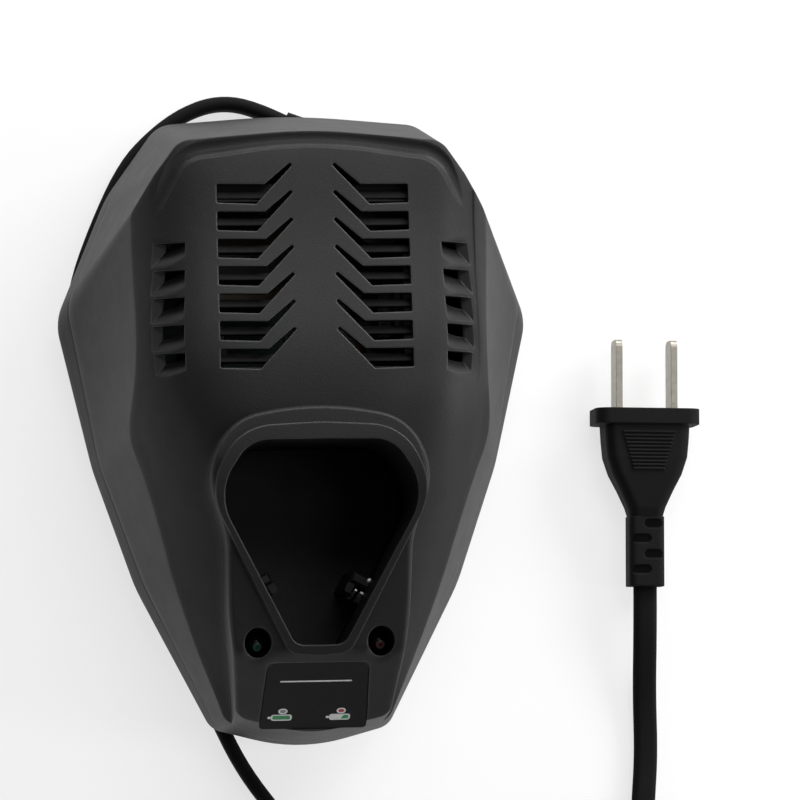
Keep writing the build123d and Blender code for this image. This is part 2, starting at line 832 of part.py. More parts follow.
# Lamp board: a strip inside the apron that is notched round the well
with BuildPart() as lamp_board:
    lamp_board_top_z = lamp_board_z + lamp_board_thickness
    add(prism(drawn_in(all_round(apron_half), shell_wall + lamp_board_gap), lamp_board_z, lamp_board_top_z))
    with BuildSketch(Plane.XY.offset(lamp_board_z)):
        with Locations((0, (lamp_board_y[0] + lamp_board_y[1]) / 2)):
            Rectangle(apron_half[2][0] * 2, lamp_board_y[1] - lamp_board_y[0])
    extrude(amount=lamp_board_thickness, mode=Mode.INTERSECT)
    round_well = drawn_in(liner_outside, -lamp_board_gap)
    add(prism(round_well, lamp_board_z - through, lamp_board_top_z + through), mode=Mode.SUBTRACT)
    with BuildSketch(Plane.XY.offset(lamp_board_z - through)):
        with Locations(*both_sides([lamp_board_post])):
            Circle(small_hole_radius)
        with Locations(*both_sides([(lamp_x + lamp_leg_x, lamp_y), (lamp_x - lamp_leg_x, lamp_y)])):
            Circle(lamp_leg_hole_radius)
    extrude(amount=lamp_board_thickness + 2 * through, mode=Mode.SUBTRACT)
lamp_board.part.label = "lamp_board"
export_step(lamp_board.part, "parts/lamp_board.step")

with BuildPart() as lamp_board_screws:
    for x, y in both_sides([lamp_board_post]):
        fastener = screw(small_head_radius, small_head_height, small_shank_radius, lamp_screw_length)
        add(fastener.moved(Pos(x, y, lamp_board_z)))
lamp_board_screws.part.label = "lamp_board_screws"
export_step(lamp_board_screws.part, "parts/lamp_board_screws.step")

# Contact carriers stand on the well's floor against its slanted side walls
wall_rear = Vector(liner_inside[2][0], liner_inside[2][1])
wall_front = Vector(liner_inside[3][0], liner_inside[3][1])
wall_run = (wall_rear - wall_front).normalized()
wall_inwards = Vector(-wall_run.Y, wall_run.X)


def carrier_plane(side):
    """Frame of a carrier on the well floor: x along the wall to the rear, y inwards or outwards."""
    foot = wall_front + wall_run * carrier_distance + wall_inwards * (carrier_size[1] / 2)
    return Plane(
        origin=(side * foot.X, foot.Y, liner_floor_z),
        x_dir=(side * wall_run.X, wall_run.Y, 0),
        z_dir=(0, 0, 1),
    )


def contact_carrier(side):
    """A block against the wall with a rounded lip that guards the sprung contact in front of it."""
    length, width, height = carrier_size
    with BuildPart(carrier_plane(side), mode=Mode.PRIVATE) as block:
        Box(length, width, height, align=on_foot)
        chamfer(block.edges().group_by(Axis.Z)[-1], carrier_chamfer)
        with Locations((-length / 2 - carrier_lip / 2, side * (width - carrier_lip_wall) / 2, 0)):
            Box(carrier_lip, carrier_lip_wall, height - carrier_lip_drop, align=on_foot)
        front_edges = block.edges().filter_by(Axis.Z).group_by(carrier_plane(side).location.x_axis)[0]
        fillet(front_edges, carrier_lip_round)
    return block.part


def sprung_contact(side):
    """A bowed leaf split into fingers, free to move back between the well's wall and the lip."""
    length, width, height = carrier_size
    back = -length / 2 - contact_travel_gap
    front = back - contact_thickness
    low = contact_low_z - liner_floor_z
    high = contact_high_z - liner_floor_z
    bow = contact_bow_z - liner_floor_z
    outer_radius = (contact_bow_half**2 + contact_bow**2) / (2 * contact_bow)
    inner_radius = outer_radius - contact_thickness
    inner_half = sqrt(inner_radius**2 - (inner_radius - contact_bow) ** 2)
    with BuildPart(mode=Mode.PRIVATE) as leaf:
        with BuildSketch(carrier_plane(side) * Plane.XZ):
            with BuildLine():
                Polyline((front, bow - contact_bow_half), (front, low), (back, low), (back, bow - inner_half))
                ThreePointArc((back, bow - inner_half), (back - contact_bow, bow), (back, bow + inner_half))
                Polyline(
                    (back, bow + inner_half),
                    (back, high),
                    (front, high),
                    (front, bow + contact_bow_half),
                )
                ThreePointArc(
                    (front, bow + contact_bow_half),
                    (front - contact_bow, bow),
                    (front, bow - contact_bow_half),
                )
            make_face()
        extrude(amount=width, both=True)
        with BuildSketch(carrier_plane(side) * Plane.YZ.offset(front - 2 * contact_bow)):
            wall_y = -side * (width / 2 - contact_wall_gap)
            foot_z = bow - contact_bow_half
            finger_near = contact_fingers[0][0]
            finger_far = contact_fingers[-1][1]
            with Locations((wall_y + side * (finger_near + finger_far) / 2, (low + foot_z) / 2)):
                Rectangle(finger_far - finger_near, foot_z - low)
            for near, far in contact_fingers:
                with Locations((wall_y + side * (near + far) / 2, (foot_z + high) / 2)):
                    Rectangle(far - near, high - foot_z)
        extrude(amount=4 * contact_bow, mode=Mode.INTERSECT)
    return leaf.part


with BuildPart() as contact_carrier_left:
    add(contact_carrier(-1))
contact_carrier_left.part.label = "contact_carrier_left"
export_step(contact_carrier_left.part, "parts/contact_carrier_left.step")

with BuildPart() as contact_carrier_right:
    add(contact_carrier(1))
contact_carrier_right.part.label = "contact_carrier_right"
export_step(contact_carrier_right.part, "parts/contact_carrier_right.step")

with BuildPart() as contact_positive:
    add(sprung_contact(1))
contact_positive.part.label = "contact_positive"
export_step(contact_positive.part, "parts/contact_positive.step")

with BuildPart() as contact_negative:
    add(sprung_contact(-1))
contact_negative.part.label = "contact_negative"
export_step(contact_negative.part, "parts/contact_negative.step")

# Screws that hold the housing together, with their heads in the base
with BuildPart() as housing_screws:
    for x, y, top in both_sides(housing_screw_places):
        fastener = screw(screw_head_radius, screw_head_height, screw_shank_radius, screw_length)
        add(fastener.moved(Pos(x, y, screw_counterbore_z)))
housing_screws.part.label = "housing_screws"
export_step(housing_screws.part, "parts/housing_screws.step")

with BuildPart() as rubber_feet:
    with Locations(*[(x, y, 0) for x, y in both_sides(foot_places)]):
        Cylinder(foot_radius, underside_z + foot_recess, align=on_foot)
    chamfer(rubber_feet.edges().group_by(Axis.Z)[0], 0.4)
rubber_feet.part.label = "rubber_feet"
export_step(rubber_feet.part, "parts/rubber_feet.step")

# Circuit board on its four posts, and the components that stand on it
board_top_z = board_z + board_thickness
with BuildPart() as circuit_board:
    with Locations((0, board_centre_y, board_z)):
        Box(board_size[0], board_size[1], board_thickness, align=on_foot)
    with Locations(*[(x, y, board_z - 1) for x, y in both_sides(board_screw_places)]):
        Cylinder(small_hole_radius, board_thickness + 2, align=on_foot, mode=Mode.SUBTRACT)
circuit_board.part.label = "circuit_board"
export_step(circuit_board.part, "parts/circuit_board.step")

with BuildPart() as board_screws:
    for x, y in both_sides(board_screw_places):
        fastener = screw(small_head_radius, small_head_height, small_shank_radius, board_screw_length)
        add(fastener.moved(Location((x, y, board_top_z), (180, 0, 0))))
board_screws.part.label = "board_screws"
export_step(board_screws.part, "parts/board_screws.step")

core_x, core_y = transformer_place
core_width, core_depth, core_height = core_size
window_width = (core_width - 2 * core_leg - core_middle_leg) / 2
window_height = core_height - 2 * core_leg
bobbin_floor = 2.0
with BuildPart() as transformer_core:
    with Locations((core_x, core_y, board_top_z + bobbin_floor)):
        Box(core_width, core_depth, core_height, align=on_foot)
        with Locations(*[(side * (core_middle_leg + window_width) / 2, 0, core_leg) for side in (1, -1)]):
            Box(window_width, core_depth, window_height, align=on_foot, mode=Mode.SUBTRACT)
transformer_core.part.label = "transformer_core"
export_step(transformer_core.part, "parts/transformer_core.step")

with BuildPart() as transformer_winding:
    with Locations((core_x, core_y, board_top_z)):
        winding_width = core_middle_leg + 2 * window_width - 0.4
        Box(winding_width, core_depth + 10, bobbin_floor + core_leg + window_height - 0.2, align=on_foot)
    fillet(transformer_winding.edges().filter_by(Axis.Z), 2.0)
    with Locations((core_x, core_y, board_top_z + bobbin_floor)):
        Box(core_middle_leg + 0.2, core_depth + 0.2, core_height, align=on_foot, mode=Mode.SUBTRACT)
        Box(core_width, core_depth + 0.2, core_leg + 0.2, align=on_foot, mode=Mode.SUBTRACT)
transformer_winding.part.label = "transformer_winding"
export_step(transformer_winding.part, "parts/transformer_winding.step")


def capacitor(place, radius, height):
    """A can capacitor with a rolled top edge, standing on the circuit board."""
    with BuildPart(mode=Mode.PRIVATE) as can:
        Cylinder(radius, height, align=on_foot)
        fillet(can.edges().group_by(Axis.Z)[-1], 0.8)
        with Locations((0, 0, 1.8)):
            Torus(radius + 0.2, 0.7, mode=Mode.SUBTRACT)
    return can.part.moved(Pos(place[0], place[1], board_top_z))


with BuildPart() as input_capacitor:
    add(capacitor(input_capacitor_place, 8.0, 25.0))
input_capacitor.part.label = "input_capacitor"
export_step(input_capacitor.part, "parts/input_capacitor.step")

with BuildPart() as output_capacitor:
    add(capacitor(output_capacitor_place, 5.0, 20.0))
output_capacitor.part.label = "output_capacitor"
export_step(output_capacitor.part, "parts/output_capacitor.step")

with BuildPart() as bridge_rectifier:
    with Locations((bridge_place[0], bridge_place[1], board_top_z)):
        with Locations((0, 0, 2.5)):
            Box(12.0, 4.4, 10.0, align=on_foot)
        with Locations(*[((leg - 1.5) * 3.2, 0, 0) for leg in range(4)]):
            Box(0.8, 0.6, 3.0, align=on_foot)
bridge_rectifier.part.label = "bridge_rectifier"
export_step(bridge_rectifier.part, "parts/bridge_rectifier.step")

with BuildPart() as heat_sink:
    with Locations((heat_sink_place[0], heat_sink_place[1], board_top_z)):
        Box(1.6, 24.0, 26.0, align=on_foot)
        with Locations(*[(2.4, (fin - 2.5) * 4.0, 2.0) for fin in range(6)]):
            Box(3.6, 1.0, 24.0, align=on_foot)
heat_sink.part.label = "heat_sink"
export_step(heat_sink.part, "parts/heat_sink.step")

with BuildPart() as power_transistor:
    with Locations((heat_sink_place[0] - 0.8, heat_sink_place[1], board_top_z)):
        with Locations((-0.65, 0, 4.0)):
            Box(1.3, 10.0, 16.0, align=on_foot)
        with Locations((-2.4, 0, 4.0)):
            Box(3.4, 10.0, 9.4, align=on_foot)
        with Locations(*[(-2.2, lead * 2.54, 0) for lead in (-1, 0, 1)]):
            Box(0.5, 0.9, 4.0, align=on_foot)
power_transistor.part.label = "power_transistor"
export_step(power_transistor.part, "parts/power_transistor.step")

with BuildPart() as fuse:
    with Locations(Location((fuse_place[0], fuse_place[1], board_top_z + 4.2), (0, 90, 0))):
        Cylinder(2.3, 20.0)
        with Locations((0, 0, 8.0), (0, 0, -8.0)):
            Cylinder(2.6, 4.0)
    with Locations(*[(fuse_place[0] + end * 8.0, fuse_place[1], board_top_z) for end in (1, -1)]):
        Box(3.0, 5.6, 4.2, align=on_foot)
fuse.part.label = "fuse"
export_step(fuse.part, "parts/fuse.step")

with BuildPart() as choke:
    with Locations((choke_place[0], choke_place[1], board_top_z + 2.8)):
        Torus(5.8, 2.8)
        with Locations((0, 0, -2.8)):
            Cylinder(5.8, 0.6, align=on_foot)
choke.part.label = "choke"
export_step(choke.part, "parts/choke.step")

with BuildPart() as controller_chip:
    with Locations((chip_place[0], chip_place[1], board_top_z)):
        with Locations((0, 0, 0.6)):
            Box(9.6, 6.4, 3.3, align=on_foot)
        with Locations(*[((pin - 1.5) * 2.54, side * 3.4, 0) for pin in range(4) for side in (1, -1)]):
            Box(1.2, 0.6, 2.4, align=on_foot)
controller_chip.part.label = "controller_chip"
export_step(controller_chip.part, "parts/controller_chip.step")

with BuildPart() as lead_connector:
    with Locations((connector_place[0], connector_place[1], board_top_z)):
        Box(12.4, 5.8, 7.0, align=on_foot)
        with Locations((0, 0.6, 1.4)):
            Box(11.0, 3.6, 7.0, align=on_foot, mode=Mode.SUBTRACT)
        with Locations(*[((pin - 2) * 2.2, 0.6, 1.4) for pin in range(5)]):
            Box(0.7, 0.7, 4.6, align=on_foot)
lead_connector.part.label = "lead_connector"
export_step(lead_connector.part, "parts/lead_connector.step")

# Strain relief: a tapered sleeve outside, with a neck and a flange in the base's notch
with BuildPart() as strain_relief:
    with BuildSketch(relief_plane):
        with Locations((0, relief_root[2])):
            RectangleRounded(relief_root_size[0], relief_root_size[1], 1.6)
    with BuildSketch(relief_plane.offset(relief_length)):
        with Locations((0, relief_tip_z)):
            RectangleRounded(relief_tip_size[0], relief_tip_size[1], 1.2)
    loft()
    for groove in range(relief_groove_count):
        along = relief_groove_first + groove * relief_groove_pitch
        side = 1 if groove % 2 else -1
        with BuildSketch(relief_plane.offset(along)):
            with Locations((side * 4.2, relief_root[2])):
                Rectangle(relief_groove_depth, 12.0)
        extrude(amount=relief_groove_width, mode=Mode.SUBTRACT)
    with BuildSketch(relief_plane.offset(-relief_neck_length - liner_clearance)):
        with Locations((0, (relief_neck_foot_z + relief_neck_top_z) / 2)):
            Rectangle(relief_neck_width, relief_neck_top_z - relief_neck_foot_z)
    extrude(amount=relief_neck_length + liner_clearance)
    with BuildSketch(relief_plane.offset(-relief_neck_length - liner_clearance)):
        with Locations((relief_flange_shift, (relief_neck_foot_z + relief_flange_top_z) / 2)):
            Rectangle(relief_flange[0], relief_flange_top_z - relief_neck_foot_z)
    extrude(amount=-relief_flange[1])
strain_relief.part.label = "strain_relief"
export_step(strain_relief.part, "parts/strain_relief.step")


def cord_section(plane, width, height):
    """The flat cord's section with bevelled corners, width along the plane's x."""
    with BuildSketch(plane) as sketch:
        with BuildLine():
            half_w = width / 2
            half_h = height / 2
            Polyline(
                (half_w - cord_corner, half_h),
                (half_w, half_h - cord_corner),
                (half_w, cord_corner - half_h),
                (half_w - cord_corner, -half_h),
                (cord_corner - half_w, -half_h),
                (-half_w, cord_corner - half_h),
                (-half_w, half_h - cord_corner),
                (cord_corner - half_w, half_h),
                close=True,
            )
        make_face()
    return sketch.sketch


def bend_radii(route):
    """Radius for each bend of a route, as large as its two runs allow."""
    radii = []
    for before, here, after in zip(route, route[1:], route[2:]):
        arriving = Vector(*here) - Vector(*before)
        leaving = Vector(*after) - Vector(*here)
        half_turn = radians(arriving.get_angle(leaving) / 2)
        radii.append(0.45 * min(arriving.length, leaving.length) / tan(half_turn))
    return radii


def swept_cord(name, route, upright):
    """A length of flat cord along a route of straight runs and arcs; upright stands it on edge."""
    radii = bend_radii(route)
    print(name, "bend radii", [round(radius, 1) for radius in radii])
    with BuildPart(mode=Mode.PRIVATE) as cord:
        with BuildLine() as path:
            FilletPolyline(route, radius=radii)
        wire = path.wire()
        heading = wire % 0
        level = Vector(-heading.Y, heading.X, 0)
        start = Plane(origin=wire @ 0, x_dir=level, z_dir=heading)
        across, high = (cord_thickness, cord_width) if upright else (cord_width, cord_thickness)
        sweep(sections=cord_section(start, across, high), path=wire)
    section = cord_width * cord_thickness - 2 * cord_corner * cord_corner
    print(name, "length", round(wire.length, 1), "volume against section times length",
          round(cord.part.volume / (section * wire.length), 4))
    return cord.part


on_edge_z = cord_width / 2 + cord_floor_gap
relief_end = Vector(relief_root[0], relief_root[1], on_edge_z) + relief_out * relief_length
first_bend = relief_end + relief_out * cord_first_run
coil_x, coil_y = coil_centre
cord_route = [tuple(relief_end), tuple(first_bend)]
cord_route += [(x, y, on_edge_z) for x, y in cord_points]
cord_route += [
    (coil_x - coil_outer_radius, coil_y + coil_lead_in, on_edge_z),
    (coil_x - coil_outer_radius, coil_y, on_edge_z),
]
with BuildPart() as mains_cord:
    add(swept_cord("mains_cord", cord_route, True))
mains_cord.part.label = "mains_cord"
export_step(mains_cord.part, "parts/mains_cord.step")

# Coil in two layers: it winds inwards on the floor, climbs in one half turn and winds out again
radii_inwards = [coil_outer_radius - coil_pitch / 2 * turn for turn in range(coil_half_turns)]
climb_radius = coil_outer_radius - coil_pitch / 2 * coil_half_turns
with BuildPart() as cord_coil:
    with BuildLine() as coil_path:
        here = Vector(coil_x - coil_outer_radius, coil_y, on_edge_z)
        heading = Vector(0, -1, 0)
        for radius in radii_inwards:
            across = 2 * radius * (1 if heading.Y < 0 else -1)
            there = here + Vector(across, 0, 0)
            TangentArc(here, there, tangent=heading)
            here = there
            heading = -heading
        rise = coil_layer_rise / 2
        middle = here + Vector(climb_radius, -sqrt(climb_radius**2 + rise**2), rise)
        first_climb = TangentArc(here, middle, tangent=heading)
        there = here + Vector(2 * climb_radius, 0, coil_layer_rise)
        TangentArc(middle, there, tangent=first_climb % 1)
        here = there
        heading = Vector(0, 1, 0)
        for radius in reversed(radii_inwards):
            across = 2 * radius * (1 if heading.Y < 0 else -1)
            there = here + Vector(across, 0, 0)
            TangentArc(here, there, tangent=heading)
            here = there
            heading = -heading
    coil_wire = coil_path.wire()
    coil_start = Plane(origin=coil_wire @ 0, x_dir=(1, 0, 0), z_dir=(0, -1, 0))
    sweep(sections=cord_section(coil_start, cord_thickness, cord_width), path=coil_wire)
cord_coil.part.label = "cord_coil"
export_step(cord_coil.part, "parts/cord_coil.step")

# Least gap of the coil to itself, on points of its centre line more than a third of a turn apart
coil_points = [coil_wire @ (step / 600) for step in range(601)]
apart = int(600 * 2 * climb_radius / coil_wire.length)
coil_gap = min(
    max(hypot(a.X - b.X, a.Y - b.Y) - cord_thickness, abs(a.Z - b.Z) - cord_width)
    for i, a in enumerate(coil_points)
    for b in coil_points[i + apart:]
)
print("coil length", round(coil_wire.length, 1), "least gap to itself", round(coil_gap, 2))

# Plug and the flat-lying length that reaches it
plug_along = Vector(sin(radians(plug_lean)), cos(radians(plug_lean)), 0)
plug_across = Vector(plug_along.Y, -plug_along.X, 0)


def plug_station(distance):
    """Plane square to the plug's axis at a distance from its face."""
    return Plane(origin=Vector(*plug_face) + plug_along * distance, x_dir=plug_across, z_dir=plug_along)


def plug_block(distance, across, height, wide, high, long):
    """A box on the plug's axis, starting at a distance from its face and reaching away from the cord."""
    with BuildPart(plug_station(distance), mode=Mode.PRIVATE) as block:
        with Locations((across, -height, 0)):
            Box(wide, high, long, align=on_foot)
    return block.part


with BuildPart() as plug_body:
    with BuildSketch(plug_station(-plug_flange_length)):
        RectangleRounded(plug_flange[0], plug_flange[1], 3.0)
    extrude(amount=plug_flange_length)
    for distance, half_width, half_height in plug_stations:
        with BuildSketch(plug_station(distance)):
            RectangleRounded(2 * half_width, 2 * half_height, min(2.4, half_width * 0.55))
    loft(ruled=True)
    with BuildSketch(plug_station(plug_relief_from)):
        RectangleRounded(2 * plug_relief_half[0], 2 * plug_relief_half[1], 1.4)
    extrude(amount=plug_relief_to - plug_relief_from)
    for distance, side in plug_notches:
        add(plug_block(distance, side * plug_relief_half[0], 0, plug_notch_depth * 2, 20, plug_notch_width),
            mode=Mode.SUBTRACT)
    for rib in range(plug_rib_count):
        share = rib / (plug_rib_count - 1)
        distance = plug_rib_first + (plug_rib_last - plug_rib_first) * share
        half_width = plug_rib_half[0] + (plug_rib_half[1] - plug_rib_half[0]) * share
        reach = plug_rib_reach[0] + (plug_rib_reach[1] - plug_rib_reach[0]) * share
        add(plug_block(distance, 0, 0, 2 * half_width, 2 * reach, plug_rib_thickness))
plug_body.part.label = "plug_body"
export_step(plug_body.part, "parts/plug_body.step")

with BuildPart() as plug_blades:
    with BuildSketch(plug_station(0)):
        with Locations((blade_spacing / 2, 0), (-blade_spacing / 2, 0)):
            Rectangle(blade_thickness, blade_width)
    extrude(amount=blade_length)
    tip_faces = plug_blades.faces().sort_by(Axis.Y)[-2:]
    tip_edges = [edge for face in tip_faces for edge in face.edges() if edge.length < blade_thickness + 0.1]
    fillet(tip_edges, 1.6)
plug_blades.part.label = "plug_blades"
export_step(plug_blades.part, "parts/plug_blades.step")

# From the coil the cord turns from standing on edge to lying flat, then runs to the plug
turn_from = coil_wire @ 1
turn_to = turn_from + Vector(0, cord_turnover, 0)
turn_from_plane = Plane(origin=turn_from, x_dir=(1, 0, 0), z_dir=(0, -1, 0))
turn_to_plane = Plane(origin=turn_to, x_dir=(1, 0, 0), z_dir=(0, -1, 0))
cord_end = plug_station(plug_relief_to).origin
last_bend = cord_end - plug_along * plug_last_run
plug_route = [tuple(turn_to)] + list(plug_points) + [tuple(last_bend), tuple(cord_end)]
with BuildPart() as plug_cord:
    loft([
        cord_section(turn_from_plane, cord_thickness, cord_width).face(),
        cord_section(turn_to_plane, cord_width, cord_thickness).face(),
    ], ruled=True)
    add(swept_cord("plug_cord", plug_route, False))
plug_cord.part.label = "plug_cord"
export_step(plug_cord.part, "parts/plug_cord.step")
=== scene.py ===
"""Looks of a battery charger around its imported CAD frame. Metres, +Z up, +Y to the rear."""

import math

import bmesh
import bpy
from mathutils import Matrix, Vector


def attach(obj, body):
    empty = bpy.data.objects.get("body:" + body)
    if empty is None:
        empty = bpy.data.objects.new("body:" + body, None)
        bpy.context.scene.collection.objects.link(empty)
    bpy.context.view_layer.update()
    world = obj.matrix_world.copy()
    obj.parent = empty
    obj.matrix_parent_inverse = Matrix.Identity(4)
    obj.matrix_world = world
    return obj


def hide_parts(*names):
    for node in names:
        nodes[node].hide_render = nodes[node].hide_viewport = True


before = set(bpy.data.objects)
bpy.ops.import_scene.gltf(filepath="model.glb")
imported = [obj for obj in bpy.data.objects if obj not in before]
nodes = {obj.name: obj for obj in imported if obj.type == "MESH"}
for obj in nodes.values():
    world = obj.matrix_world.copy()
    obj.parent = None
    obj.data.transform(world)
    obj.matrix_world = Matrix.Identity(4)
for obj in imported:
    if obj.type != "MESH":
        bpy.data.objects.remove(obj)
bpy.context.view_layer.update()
scene = bpy.context.scene

MM = 0.001


def mm(*values):
    """A point given in millimetres."""
    return Vector(value * MM for value in values)


def smooth_step(share):
    """Eases a share from 0 to 1, level at both ends."""
    return share * share * (3 - 2 * share)


# Camera: the photograph's standpoint, found from the outline, the well and the vents
CAMERA_PLACE = mm(-83.53, -69.14, 839.51)
CAMERA_AIM = mm(25.50, 7.26, 0.0)
CAMERA_ROLL = math.radians(1.2)
FOCAL_PIXELS = 3719.9
PHOTO_PIXELS = 800
SENSOR = 36.0

camera_data = bpy.data.cameras.new("photo_camera")
camera_data.sensor_width = SENSOR
camera_data.lens = FOCAL_PIXELS / PHOTO_PIXELS * SENSOR
camera_data.clip_start = 0.01
camera_data.clip_end = 20.0
camera = bpy.data.objects.new("photo_camera", camera_data)
scene.collection.objects.link(camera)
backwards = (CAMERA_PLACE - CAMERA_AIM).normalized()
upwards = Vector((math.sin(CAMERA_ROLL), math.cos(CAMERA_ROLL), 0.0))
rightwards = upwards.cross(backwards).normalized()
upwards = backwards.cross(rightwards)
camera.matrix_world = Matrix.Translation(CAMERA_PLACE) @ Matrix(
    (rightwards, upwards, backwards)
).transposed().to_4x4()
scene.camera = camera

# Cord: the route of part.py, with the arc behind the deck drawn in by up to 1.6 mm as in the
# photograph, then the coil's turns and the run to the plug, all in millimetres
CORD_WIDTH = 5.4
CORD_THICKNESS = 3.2
CORD_CURVE_ORDER = 3
CORD_CURVE_STEPS = 5
ON_EDGE_Z = 2.75
ROUTE_OUT = [
    (-0.4, 70.92, 2.75),
    (-7.6, 74.41, 2.75),
    (-15.5, 75.4, 2.75),
    (-22.9, 72.9, 2.75),
    (-29.8, 68.1, 2.75),
    (-36.9, 60.7, 2.75),
    (-43.6, 46.4, 2.75),
    (-48.6, 32.5, 2.75),
    (-49.2, 18.5, 2.75),
    (-45.9, 4.0, 2.75),
    (-41.7, -10.0, 2.75),
    (-36.9, -24.0, 2.75),
    (-31.2, -37.5, 2.75),
    (-25.0, -50.5, 2.75),
    (-18.4, -63.0, 2.75),
    (-12.6, -75.5, 2.75),
    (-4.2, -86.8, 2.75),
    (3.6, -96.0, 2.75),
    (9.2, -105.6, 2.75),
    (12.1, -115.5, 2.75),
]
COIL_CENTRE = (44.5, -124.5)
COIL_RADIUS = 32.4
COIL_STEP = 1.9
COIL_RISE = 5.9
COIL_HALF_TURNS = 4
POINTS_PER_HALF_TURN = 9
ROUTE_IN = [
    (76.9, -117.5, 8.65),
    (76.9, -107.5, 8.3),
    (77.6, -96.5, 6.0),
    (78.8, -85.5, 3.4),
    (80.1, -74.5, 1.9),
    (79.9, -60.5, 2.5),
    (79.76, -46.47, 6.5),
    (79.99, -36.47, 6.5),
]
# Within this many points of the run to the plug the cord turns from standing on edge to lying flat
TURN_OVER_POINTS = 2.0
# Each lobe of the cord's section: its steps and their angle, and where the groove lies between two
LOBE_STEPS = 6
LOBE_STEP_ANGLE = 14.0
GROOVE_X, GROOVE_Y = 0.94, 0.35


def coil_points():
    """Control points of the coil: half turns inwards, one that climbs, and half turns outwards."""
    half_turns = [COIL_RADIUS - COIL_STEP * turn for turn in range(COIL_HALF_TURNS)]
    climb = COIL_RADIUS - COIL_STEP * COIL_HALF_TURNS
    radii = half_turns + [climb] + half_turns[::-1]
    step = math.pi / POINTS_PER_HALF_TURN
    # The curve lies inside its control points, so these stand a little further out
    outwards = 2.0 / (1.0 + math.cos(step))
    points = []
    x, y = COIL_CENTRE[0] - COIL_RADIUS, COIL_CENTRE[1]
    for turn, radius in enumerate(radii):
        side = 1 if turn % 2 == 0 else -1
        centre_x = x + side * radius
        for index in range(POINTS_PER_HALF_TURN):
            angle = (index + 0.5) * step
            if turn < COIL_HALF_TURNS:
                z = ON_EDGE_Z
            elif turn > COIL_HALF_TURNS:
                z = ON_EDGE_Z + COIL_RISE
            else:
                z = ON_EDGE_Z + COIL_RISE * smooth_step(angle / math.pi)
            points.append((
                centre_x - side * radius * outwards * math.cos(angle),
                y - side * radius * outwards * math.sin(angle),
                z,
            ))
        x = centre_x + side * radius
    return points


def curve_piece(name, points, tilts, profile):
    """A smooth curve among its control points, in millimetres, with a profile swept along it."""
    data = bpy.data.curves.new(name, "CURVE")
    data.dimensions = "3D"
    data.twist_mode = "Z_UP"
    data.resolution_u = CORD_CURVE_STEPS
    data.bevel_mode = "OBJECT"
    data.bevel_object = profile
    data.use_fill_caps = True
    spline = data.splines.new("NURBS")
    spline.points.add(len(points) - 1)
    for point, place, tilt in zip(spline.points, points, tilts):
        point.co = (*mm(*place), 1.0)
        point.radius = MM
        point.tilt = tilt
    spline.order_u = CORD_CURVE_ORDER
    spline.use_endpoint_u = True
    piece = bpy.data.objects.new(name, data)
    scene.collection.objects.link(piece)
    return piece


def closed_profile(name, points):
    """A closed outline in millimetres, which the radius of the points it follows makes metres."""
    data = bpy.data.curves.new(name, "CURVE")
    data.dimensions = "2D"
    spline = data.splines.new("POLY")
    spline.points.add(len(points) - 1)
    for point, (x, y) in zip(spline.points, points):
        point.co = (x, y, 0.0, 1.0)
    spline.use_cyclic_u = True
    profile = bpy.data.objects.new(name, data)
    scene.collection.objects.link(profile)
    profile.hide_render = True
    return profile


def cord_outline():
    """Section of the flat twin cord: two round lobes with a shallow groove between them."""
    lobe = CORD_THICKNESS / 2
    offset = CORD_WIDTH / 2 - lobe
    outline = []
    for side in (1, -1):
        for step in range(-LOBE_STEPS, LOBE_STEPS + 1):
            angle = math.radians(step * LOBE_STEP_ANGLE)
            x = side * lobe * math.sin(angle)
            y = side * (offset + lobe * math.cos(angle))
            outline.append((x, y))
        outline.append((side * lobe * GROOVE_X, side * offset * GROOVE_Y))
    return outline


cord_profile = closed_profile("cord_profile", cord_outline())
on_edge = ROUTE_OUT + coil_points()
tilts = [0.0] * len(on_edge) + [
    math.pi / 2 * min(1.0, (index + 0.5) / TURN_OVER_POINTS) for index in range(len(ROUTE_IN))
]
cord = curve_piece("flat_cord", on_edge + ROUTE_IN, tilts, cord_profile)
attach(cord, "housing")
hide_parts("mains_cord", "cord_coil", "plug_cord")


# Most values of Blender's noise lie in this range
NOISE_RANGE = (0.3, 0.7)


